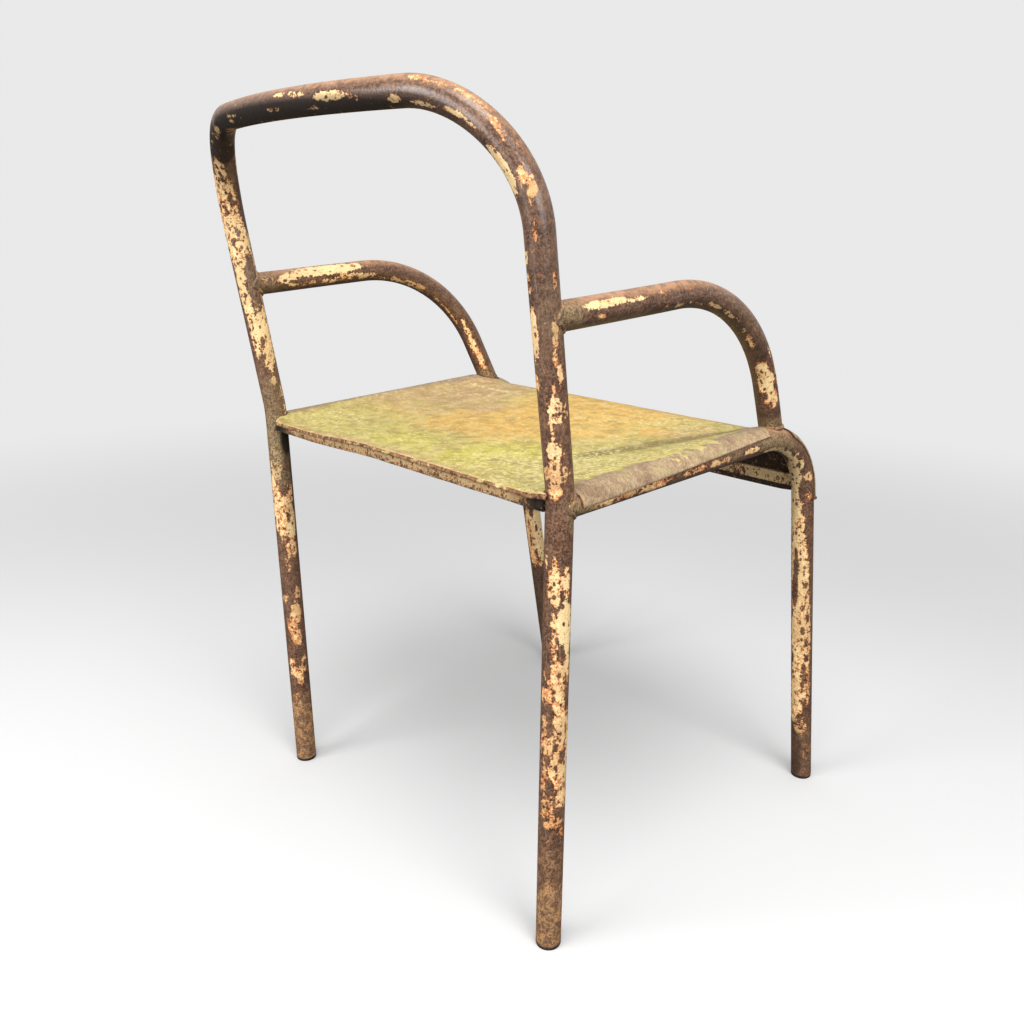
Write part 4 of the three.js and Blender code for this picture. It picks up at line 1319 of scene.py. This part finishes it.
def valley_share(across, behind):
    """A darker band along the valley, which runs forward and outwards beside the right rail.

    It lies 150 mm across at the back and 214 mm in front, and is 6 to 10 mm wide or so.
    """
    forward = clamp((-behind - 60) / 250)
    middle = 150 + 64 * forward ** 1.3
    width = 10 - 4 * forward + 4 * math.sin(math.pi * forward)
    distance = abs(-across - middle) / width
    return clamp((-behind - 70) / 60) * clamp(1.4 - distance)


def roll_share(place, across, behind):
    """Wear on the rolled sides, whose border wanders and runs inwards at the front."""
    seed = 0.0 if place.x > 0 else 5.0
    border = 228 + 10 * soft_noise(place.y * 22, 0, seed, 6)
    border += 5 * soft_noise(place.y * 90, 0, seed, 7)
    border -= 14 * max(0.0, (-behind - 210) / 100)
    return clamp((abs(across) - border) / 12 + 0.5)


def front_share(place, behind):
    """Wear on the front bend, from a border that wanders."""
    beyond = -behind - 322 + 9 * soft_noise(place.x * 18, 3, 0, 8)
    beyond += 5 * soft_noise(place.x * 80, 5, 0, 8)
    return clamp(beyond / 12)


def seat_shares(place, knee, turn):
    """Ochre, green, tan and the valley's darker band, and then roll, flecks, rust and yellow."""
    across = place.x * 1000
    behind = (place.y - knee) * 1000
    share = {kind: tone_share(kind, across, behind) for kind in SEAT_TONES}
    roll = roll_share(place, across, behind)
    rust = 0.62 if turn > 0.6 else 0.0
    return ((share["ochre"], share["green"], max(share["tan"], 0.8 * math.sin(turn)),
             valley_share(across, behind)),
            (max(roll, 0.8 * front_share(place, behind)), share["flecks"] * (1 - roll), rust,
             share["yellow"]))


# Waves and dents of the pan: how many to the metre, how deep in metres, and their seed
DENTS = ((9, 0.0007, 2), (34, 0.00022, 4))
PRESSED_IN = 0.0009

# They end this far from the middle, over this width
DENTS_END, DENTS_FADE = 0.225, 0.03


def dented(place, normal):
    """The place pressed in by the pan's waves and dents, which stop at the rolled sides."""
    wave = sum(soft_noise(place.x * often, place.y * often, 0.0, seed) * depth
               for often, depth, seed in DENTS)
    level = clamp((DENTS_END - abs(place.x)) / DENTS_FADE)
    return place - normal * (PRESSED_IN + wave) * level


CUTTER_HEIGHT = 0.06
ARC_STEPS = 24

# By side: the angle where the notch round a post starts, and how far in it opens behind
POST_NOTCHES = {1: (165, -0.040), -1: (98, -0.002)}


def closed_cutter(name, outline, side, middle, upward):
    """A closed shape with a flat outline, standing along a direction."""
    bm = bmesh.new()
    face = bm.faces.new([bm.verts.new((side * x, y, 0)) for x, y in outline])
    grown = bmesh.ops.extrude_face_region(bm, geom=[face])["geom"]
    top = [part for part in grown if isinstance(part, bmesh.types.BMVert)]
    bmesh.ops.translate(bm, vec=(0, 0, CUTTER_HEIGHT), verts=top)
    bmesh.ops.translate(bm, vec=(0, 0, -CUTTER_HEIGHT / 2), verts=bm.verts)
    bmesh.ops.recalc_face_normals(bm, faces=bm.faces)
    stand_along(bm, middle, upward)
    return in_scene(name, as_mesh(name, bm))


def arc_corners(radius, start, end):
    angles = [math.radians(start + (end - start) * i / ARC_STEPS) for i in range(ARC_STEPS + 1)]
    return [(radius * math.cos(angle), radius * math.sin(angle)) for angle in angles]


def post_notch(chair, name, side):
    """Round in front of and inside the post, open behind and outside it."""
    radius = chair.stock.tube_radius + chair.seat.post_clearance
    place, along = post_at(chair, side, rail_end(chair, side) + chair.stock.tube_radius)
    start, corner = POST_NOTCHES[side]
    outline = arc_corners(radius, start, 300) + [
        (0.0148, -0.0135), (0.05, -0.014), (0.05, 0.03), (corner, 0.03)]
    return closed_cutter(name, outline, side, place, along)


def arm_notch(chair, name, side):
    """Round inside the arm's foot, with a slot that widens towards the sheet's edge."""
    radius = chair.stock.tube_radius + chair.seat.arm_clearance
    arm = arm_path(chair, side)
    outline = arc_corners(radius, 90, 270) + [
        (0.004, -radius), (0.04, -radius - 0.004), (0.04, radius + 0.026), (0.002, radius)]
    return closed_cutter(name, outline, side, arm[-1], unit(arm[-2] - arm[-1]))


class ARMCHAIR_OT_seat(bpy.types.Operator):
    """Presses the seat sheet over the rails"""

    bl_idname = "armchair.seat"
    bl_label = "Seat"
    bl_options = {"REGISTER", "UNDO"}

    def execute(self, context):
        chair = context.scene.armchair
        # The sheet's underside is thin worn paint under strong painted shade
        underside = painted_steel(chair, "seat_underside_paint_and_shade", False, {
            "Cover": 0.22, "Stain": 0.8, "Dirt": 0.1, "Shade": 0.82})
        sheet = add_piece("seat_sheet", self.pressed_sheet(chair), [seat_steel(chair), underside],
                          ["seat_plate"])
        thicken = sheet.modifiers.new("Sheet thickness", "SOLIDIFY")
        thicken.thickness = chair.stock.sheet_thickness
        thicken.offset = -1
        thicken.material_offset = 1
        cutters = []
        for name, side in SIDES.items():
            cutters.append(post_notch(chair, f"post_notch_{name}", side))
            cutters.append(arm_notch(chair, f"arm_notch_{name}", side))
        for cutter in cutters:
            cut = sheet.modifiers.new(cutter.name, "BOOLEAN")
            cut.object = cutter
            cut.operation = "DIFFERENCE"
            cut.solver = "MANIFOLD"
        settle_modifiers(sheet)
        for cutter in cutters:
            bpy.data.objects.remove(cutter)
        return {"FINISHED"}

    def pressed_sheet(self, chair):
        """The sheet's outer face, with the shares of its tones and its wear."""
        knee = knee_place(chair)
        stations = seat_stations(chair)
        rows = len(stations) - 1
        half = PAN_COLUMNS + ROLL_COLUMNS
        bm = bmesh.new()
        bmesh.ops.create_grid(bm, x_segments=2 * half, y_segments=rows, size=0.5)
        zones = bm.verts.layers.float_color.new("zones")
        wear = bm.verts.layers.float_color.new("wear")
        for vert in bm.verts:
            column = round((vert.co.x + 0.5) * 2 * half) - half
            station = stations[round((vert.co.y + 0.5) * rows)]
            place, normal = seat_cell(chair, knee, station, column)
            vert.co = dented(place, normal)
            vert[zones], vert[wear] = seat_shares(place, knee, station[3])
        bmesh.ops.recalc_face_normals(bm, faces=bm.faces)
        if sum(face.normal.z for face in bm.faces) < 0:
            bmesh.ops.reverse_faces(bm, faces=bm.faces)
        for face in bm.faces:
            face.smooth = True
        return bm


# Flat bars

BAR_CUTS = 150
BAR_BEVEL = 0.0006
BAR_WAVE = 0.0003


def long_edges(bm, length):
    return [edge for edge in bm.edges
            if abs(edge.verts[0].co.x - edge.verts[1].co.x) > length / 2]


def bar_blank(length, thickness, height):
    """A flat bar along X, divided along its length, with broken edges."""
    bm = bmesh.new()
    bmesh.ops.create_cube(bm, size=1)
    bmesh.ops.scale(bm, vec=(length, thickness, height), verts=bm.verts)
    bmesh.ops.bevel(bm, geom=long_edges(bm, length), offset=BAR_BEVEL, segments=2, profile=0.5,
                    affect="EDGES", material=-1)
    bmesh.ops.subdivide_edges(bm, edges=long_edges(bm, length), cuts=BAR_CUTS,
                              use_grid_fill=True)
    return bm


def bar_wear(bm, shares_at):
    """Gives the bar its finish, and then bends it a little."""
    colour_wear(bm, shares_at)
    for vert in bm.verts:
        vert.co.y += BAR_WAVE * soft_noise(vert.co.x * 26, vert.co.z * 20, 0, 8)
        vert.co.z += BAR_WAVE * soft_noise(vert.co.x * 22, 0, vert.co.y * 30, 9)
    for face in bm.faces:
        face.smooth = False


class ARMCHAIR_OT_bars(bpy.types.Operator):
    """Cuts the flat bars under the rear edge and inside the apron"""

    bl_idname = "armchair.bars"
    bl_label = "Flat Bars"
    bl_options = {"REGISTER", "UNDO"}

    def execute(self, context):
        chair = context.scene.armchair
        material = painted_steel(chair, "bar_paint", unrolled=False)
        self.rear_bar(chair, material)
        self.front_bar(chair, material)
        return {"FINISHED"}

    def rear_bar(self, chair, material):
        size = chair.bar
        low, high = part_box("rear_seat_bar")
        high.x -= size.left_short
        bm = bar_blank(high.x - low.x, size.thickness, size.rear_height)
        # The painted shadow under the sheet's rim starts at this height
        rim_shadow_start = 0.08 * size.rear_height
        bmesh.ops.bisect_plane(bm, geom=bm.verts[:] + bm.edges[:] + bm.faces[:], dist=1e-6,
                               plane_co=(0, 0, rim_shadow_start), plane_no=(0, 0, 1))

        def shares_at(place):
            """Painted shade over the whole bar, deepest under the sheet's rim and at both ends, which
            are also worn bare.
            """
            end = clamp((abs(place.x) - 0.180) / 0.034)
            patchy = soft_noise(place.x * 34, 0, place.z * 60, 12)
            lower = clamp(-place.z / 0.002 - 1.6)
            shade = max(0.25 + 0.75 * end, clamp((place.z - rim_shadow_start) / 0.0015))
            return (0.86 + 0.3 * patchy - 0.7 * end - 0.5 * lower, 0.55 + 0.4 * end, 0.5, shade)

        bar_wear(bm, shares_at)
        for vert in bm.verts:
            vert.co.z -= bar_sag(chair, vert.co.x)
        middle = (low + high) / 2
        middle.z = size.rear_level
        bmesh.ops.translate(bm, vec=middle, verts=bm.verts)
        add_piece("rear_bar", bm, [material], ["rear_seat_bar"])

    def front_bar(self, chair, material):
        size = chair.bar
        low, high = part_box("front_seat_bar")
        bm = bar_blank(high.x - low.x, size.thickness, size.height)

        def shares_at(place):
            patchy = soft_noise(place.x * 24, 0, place.z * 60, 14)
            return (0.74 + 0.4 * patchy, 0.3, 0.3, 0.0)

        bar_wear(bm, shares_at)
        _, along, outward, _ = seat_stations(chair)[0]
        turn = Matrix((Vector((-1, 0, 0)), outward, along)).transposed().to_4x4()
        bmesh.ops.transform(bm, matrix=turn, verts=bm.verts)
        middle = (low + high) / 2 - outward * size.front_inset
        bmesh.ops.translate(bm, vec=middle, verts=bm.verts)
        add_piece("front_bar", bm, [material], ["front_seat_bar"])


# Feet

EDGE_STEPS = 6

# The plugs get painted shade from this height down, over this much of it
FOOT_SHADE_TOP, FOOT_SHADE_OVER = 0.0062, 0.0022


def plug_outline(size, radius, top):
    """Half the section of a plug, from the middle of its worn foot to the top of its stem."""
    outline = [Vector((0, 0, -size.wear)), Vector((radius - size.edge, 0, -size.wear))]
    for i in range(1, EDGE_STEPS + 1):
        angle = math.pi / 2 * i / EDGE_STEPS
        outline.append(Vector((radius - size.edge * (1 - math.sin(angle)), 0,
                               -size.wear + size.edge * (1 - math.cos(angle)))))
    return outline + [
        Vector((radius, 0, top)), Vector((size.stem_radius, 0, top)),
        Vector((size.stem_radius, 0, top + size.stem)), Vector((0, 0, top + size.stem))]


class ARMCHAIR_OT_feet(bpy.types.Operator):
    """Turns the plugs that close the feet"""

    bl_idname = "armchair.feet"
    bl_label = "Foot Plugs"
    bl_options = {"REGISTER", "UNDO"}

    def execute(self, context):
        chair = context.scene.armchair
        material = painted_steel(chair, "foot_paint", unrolled=False)
        back = back_path(chair)
        paths = {"rear_foot_left": back, "rear_foot_right": back[::-1]}
        for name, side in SIDES.items():
            paths[f"front_foot_{name}"] = side_path(chair, side)
        for name, points in paths.items():
            node = name.replace("foot", "foot_plug")
            add_piece(name, self.plug(chair, points), [material], [node])
        return {"FINISHED"}

    def plug(self, chair, points):
        """A turned plug along the tube, cut off level with the floor."""
        upward = unit(points[1] - points[0])
        bm = bmesh.new()
        outline = plug_outline(chair.foot, chair.stock.tube_radius, chair.foot.head / upward.z)
        verts = [bm.verts.new(place) for place in outline]
        edges = [bm.edges.new(pair) for pair in zip(verts, verts[1:])]
        bmesh.ops.spin(bm, geom=verts + edges, cent=(0, 0, 0), axis=(0, 0, 1),
                       angle=2 * math.pi, steps=chair.stock.tube_sides, use_merge=True)
        bmesh.ops.remove_doubles(bm, verts=bm.verts, dist=0.00001)
        bmesh.ops.recalc_face_normals(bm, faces=bm.faces)
        stand_along(bm, points[0], upward)
        cut = bmesh.ops.bisect_plane(bm, geom=bm.verts[:] + bm.edges[:] + bm.faces[:],
                                     plane_co=(0, 0, 0), plane_no=(0, 0, 1),
                                     clear_inner=True)["geom_cut"]
        rim = [part for part in cut if isinstance(part, bmesh.types.BMEdge)]
        bmesh.ops.edgeloop_fill(bm, edges=rim)
        colour_wear(bm, lambda place: (
            0.1, 0.9, 0.85, clamp((FOOT_SHADE_TOP - place.z) / FOOT_SHADE_OVER)))
        for face in bm.faces:
            face.smooth = len(face.verts) < 6
        return bm


# Welds

BEAD_POINTS = 60
BEAD_SIDES = 14
LUMP_SEED = 25

# The part of a bead that shows, its ripple and its seed
RAIL_BEAD = (0.4, 0.2, 21)
ARM_POST_BEAD = (0.62, 0.14, 22)
ARM_SEAT_BEAD = (0.5, 0.25, 23)

# Cover, stain, dirt and painted shade of each kind of weld. The lumps at the ends of the bars are black
# with painted shade.
RAIL_BEAD_WEAR = (0.3, 0.5, 0.75, 0.2)
ARM_POST_BEAD_WEAR = (0.25, 0.6, 0.55, 0.1)
ARM_SEAT_BEAD_WEAR = (0.25, 0.4, 0.45, 0.1)
BAR_LUMP_WEAR = (0.15, 0.8, 0.2, 1.0)
APRON_TACK_WEAR = (0.15, 0.8, 0.2, 0.3)


def saddle_points(radius, carrier, place, along):
    """The line where a branch tube meets the tube that carries it."""
    first = unit(Vector((1, 0, 0)).cross(along))
    second = along.cross(first)
    points = []
    for i in range(BEAD_POINTS):
        angle = 2 * math.pi * i / BEAD_POINTS
        start = place + first * radius * math.cos(angle) + second * radius * math.sin(angle)
        reach = -surface_reach(start, -along, *carrier, radius)
        points.append(start + along * reach)
    return points


def bead_ring(points, full_radius, part, ripple, seed):
    """A closed bead of weld along the points, swelling and shrinking as it was laid."""
    radius = full_radius * part
    bm = bmesh.new()
    count = len(points)
    middle = sum(points, Vector()) / count
    frames = []
    for i, point in enumerate(points):
        along = unit(points[(i + 1) % count] - points[i - 1])
        out = point - middle
        out = unit(out - along * out.dot(along))
        frames.append(Matrix((out, along.cross(out), along)).transposed())
    bmesh.ops.create_grid(bm, x_segments=BEAD_SIDES, y_segments=count, size=0.5)
    for vert in bm.verts:
        index = round((vert.co.y + 0.5) * count) % count
        angle = math.tau * vert.co.x
        swell = 1 - ripple + ripple * abs(math.sin(index * math.pi / 3))
        local = Vector((radius * swell * math.cos(angle), radius * swell * math.sin(angle), 0))
        away = frames[index] @ local
        lumps = soft_noise(*((points[index] + away) * 160), seed)
        vert.co = points[index] + away * (1 + 0.22 * lumps)
    bmesh.ops.remove_doubles(bm, verts=bm.verts, dist=SAME_PLACE)
    bmesh.ops.recalc_face_normals(bm, faces=bm.faces)
    return bm


def weld_lump(place, radius):
    """A rough ball of weld, a little flattened."""
    bm = bmesh.new()
    bmesh.ops.create_icosphere(bm, subdivisions=4, radius=radius)
    for vert in bm.verts:
        rough = soft_noise(*(vert.co * 190), LUMP_SEED)
        fine = soft_noise(*(vert.co * 520), LUMP_SEED)
        vert.co *= 1 + 0.2 * rough + 0.07 * fine
    bmesh.ops.scale(bm, vec=(1, 0.9, 1.1), verts=bm.verts)
    bmesh.ops.translate(bm, vec=place, verts=bm.verts)
    return bm


class ARMCHAIR_OT_welds(bpy.types.Operator):
    """Lays the beads, lumps and tacks where the pieces meet"""

    bl_idname = "armchair.welds"
    bl_label = "Welds"
    bl_options = {"REGISTER", "UNDO"}

    def execute(self, context):
        chair = context.scene.armchair
        for name, side in SIDES.items():
            self.beads(chair, name, side)
            self.lumps(chair, name, side)
        return {"FINISHED"}

    def add(self, chair, name, bm, node, wear):
        colour_wear(bm, lambda place: wear)
        for face in bm.faces:
            face.smooth = True
        material = painted_steel(chair, "weld_paint", unrolled=False)
        add_piece(name, bm, [material], [node])

    def beads(self, chair, name, side):
        """Where the rail and the arm meet the post, and the arm meets the rail."""
        size = chair.weld
        radius = chair.stock.tube_radius
        rail = side_path(chair, side)
        post = post_at(chair, side, rail_end(chair, side))
        ring = saddle_points(radius, post, rail[-1], unit(rail[-2] - rail[-1]))
        self.add(chair, f"rail_bead_{name}", bead_ring(ring, size.rail_bead, *RAIL_BEAD),
                 f"rail_weld_{name}", RAIL_BEAD_WEAR)

        arm = arm_path(chair, side)
        post = post_at(chair, side, chair.arm.post_height)
        ring = saddle_points(radius, post, arm[0], unit(arm[1] - arm[0]))
        self.add(chair, f"arm_post_bead_{name}",
                 bead_ring(ring, size.arm_bead, *ARM_POST_BEAD),
                 f"arm_post_weld_{name}", ARM_POST_BEAD_WEAR)

        nearest = nearest_on_rail(chair, side, arm[-1])
        ring = saddle_points(radius, nearest, arm[-1], unit(arm[-2] - arm[-1]))
        self.add(chair, f"arm_seat_bead_{name}",
                 bead_ring(ring, size.arm_bead, *ARM_SEAT_BEAD),
                 f"arm_seat_weld_{name}", ARM_SEAT_BEAD_WEAR)

    def lumps(self, chair, name, side):
        """At the ends of both bars, and at the apron's lower corner."""
        size = chair.weld
        for node, title, radius, wear in (
                ("rear_bar_weld", "rear_bar_lump", size.bar_lump, BAR_LUMP_WEAR),
                ("front_bar_weld", "front_bar_lump", size.bar_lump, BAR_LUMP_WEAR),
                ("apron_weld", "apron_tack", size.apron_tack, APRON_TACK_WEAR)):
            low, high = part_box(f"{node}_{name}")
            place = (low + high) / 2
            if node == "rear_bar_weld":
                place.z = chair.bar.rear_level - bar_sag(chair, place.x)
                if side > 0:
                    place += Vector((-chair.bar.left_short, -0.004, -0.002))
            self.add(chair, f"{title}_{name}", weld_lump(place, radius), f"{node}_{name}", wear)


# Studio

CAMERA_PLACE = (-0.77313, 0.72518, 0.67250)
CAMERA_AHEAD = (0.6997118, -0.6605542, -0.27216088)
CAMERA_ROLL = math.radians(0.9595)
CAMERA_SHIFT = (-0.01454, -0.01522)
SENSOR_WIDTH = 36
LAMP_SIZE = 1.6
LAMP_TARGET = (0, 0, 0.4)
FLOOR_HALF_WIDTH = 12

# The floor turns into the plain backdrop between these distances from the chair
FLOOR_FADE = (0.7, 2.6)


class ARMCHAIR_OT_studio(bpy.types.Operator):
    """Sets up the camera, the floor and the lamps"""

    bl_idname = "armchair.studio"
    bl_label = "Studio"
    bl_options = {"REGISTER", "UNDO"}

    def execute(self, context):
        scene = context.scene
        studio = scene.armchair.studio
        self.camera(scene, studio)
        self.floor(studio)
        self.lamp("key_lamp", (-0.9, 0.9, 2.6), studio.key_power)
        self.lamp("fill_lamp", (-2.4, 0.6, 1.2), studio.fill_power)
        self.lamp("side_lamp", (0.4, 2.4, 1.0), studio.side_power)
        self.sky(scene, studio)
        scene.view_settings.view_transform = "Standard"
        return {"FINISHED"}

    def camera(self, scene, studio):
        data = bpy.data.cameras.new("camera")
        data.lens = studio.lens
        data.sensor_width = SENSOR_WIDTH
        data.shift_x, data.shift_y = CAMERA_SHIFT
        data.clip_start = 0.05
        camera = in_scene("camera", data)
        ahead = Vector(CAMERA_AHEAD)
        right = unit(ahead.cross(Vector((0, 0, 1))))
        up = right.cross(ahead)
        tilted_right = right * math.cos(CAMERA_ROLL) + up * math.sin(CAMERA_ROLL)
        tilted_up = up * math.cos(CAMERA_ROLL) - right * math.sin(CAMERA_ROLL)
        turned = Matrix((tilted_right, tilted_up, -ahead)).transposed().to_4x4()
        camera.matrix_world = Matrix.Translation(CAMERA_PLACE) @ turned
        scene.camera = camera

    def floor(self, studio):
        bm = bmesh.new()
        bmesh.ops.create_grid(bm, x_segments=1, y_segments=1, size=FLOOR_HALF_WIDTH)
        mesh = as_mesh("floor", bm)
        floor = in_scene("floor", mesh)
        material = bpy.data.materials.new("floor")
        material.use_nodes = True
        desk = NodeDesk(material.node_tree)
        seen = desk.node("ShaderNodeLightPath").outputs["Is Camera Ray"]
        colour = desk.mix(seen, (0.12, 0.12, 0.12), studio.floor_colour)
        lit = desk.node("ShaderNodeBsdfPrincipled", {
            "Base Color": colour, "Roughness": 0.9, "Specular IOR Level": 0.1})
        backdrop = desk.node("ShaderNodeEmission", {
            "Color": (1, 1, 1), "Strength": studio.backdrop})
        place = desk.node("ShaderNodeTexCoord").outputs["Object"]
        distance = desk.node("ShaderNodeVectorMath", {0: place}, operation="LENGTH")
        far = desk.times(desk.ramp(distance.outputs["Value"], *FLOOR_FADE), seen)
        surface = desk.node("ShaderNodeMixShader", {0: far, 1: lit, 2: backdrop})
        desk.node("ShaderNodeOutputMaterial", {"Surface": surface})
        mesh.materials.append(material)

    def lamp(self, name, place, power):
        data = bpy.data.lights.new(name, "AREA")
        data.shape = "DISK"
        data.size = LAMP_SIZE
        data.energy = power
        lamp = in_scene(name, data)
        lamp.location = place
        aim = Vector(LAMP_TARGET) - Vector(place)
        lamp.rotation_euler = aim.to_track_quat("-Z", "Y").to_euler()

    def sky(self, scene, studio):
        world = bpy.data.worlds.new("sky")
        world.use_nodes = True
        desk = NodeDesk(world.node_tree)
        seen = desk.node("ShaderNodeLightPath").outputs["Is Camera Ray"]
        strength = desk.line(seen, studio.backdrop - studio.sky_strength, studio.sky_strength)
        shader = desk.node("ShaderNodeBackground", {"Color": (1, 1, 1), "Strength": strength})
        desk.node("ShaderNodeOutputWorld", {"Surface": shader})
        scene.world = world


OPERATORS = (
    ARMCHAIR_OT_studio, ARMCHAIR_OT_back_frame, ARMCHAIR_OT_side_frames, ARMCHAIR_OT_arms,
    ARMCHAIR_OT_seat, ARMCHAIR_OT_bars, ARMCHAIR_OT_feet, ARMCHAIR_OT_welds,
)


class ARMCHAIR_PT_panel(bpy.types.Panel):
    """Lists the steps that make the chair"""

    bl_idname = "ARMCHAIR_PT_panel"
    bl_label = "Welded Tube Armchair"
    bl_space_type = "VIEW_3D"
    bl_region_type = "UI"
    bl_category = "Armchair"

    def draw(self, context):
        column = self.layout.column()
        for operator in OPERATORS:
            column.operator(operator.bl_idname)


CLASSES = (
    StockSizes, BackFrameSizes, SideFrameSizes, ArmSizes, SeatSizes, BarSizes, FootSizes,
    WeldSizes, FinishColours, StudioSettings, ArmchairSettings, *OPERATORS, ARMCHAIR_PT_panel,
)


def register():
    for each in CLASSES:
        bpy.utils.register_class(each)
    bpy.types.Scene.armchair = PointerProperty(type=ArmchairSettings)


def unregister():
    del bpy.types.Scene.armchair
    for each in reversed(CLASSES):
        bpy.utils.unregister_class(each)


def main():
    register()
    bpy.ops.armchair.studio()
    bpy.ops.armchair.back_frame()
    bpy.ops.armchair.side_frames()
    bpy.ops.armchair.arms()
    bpy.ops.armchair.seat()
    bpy.ops.armchair.bars()
    bpy.ops.armchair.feet()
    bpy.ops.armchair.welds()


if __name__ == "__main__":
    main()
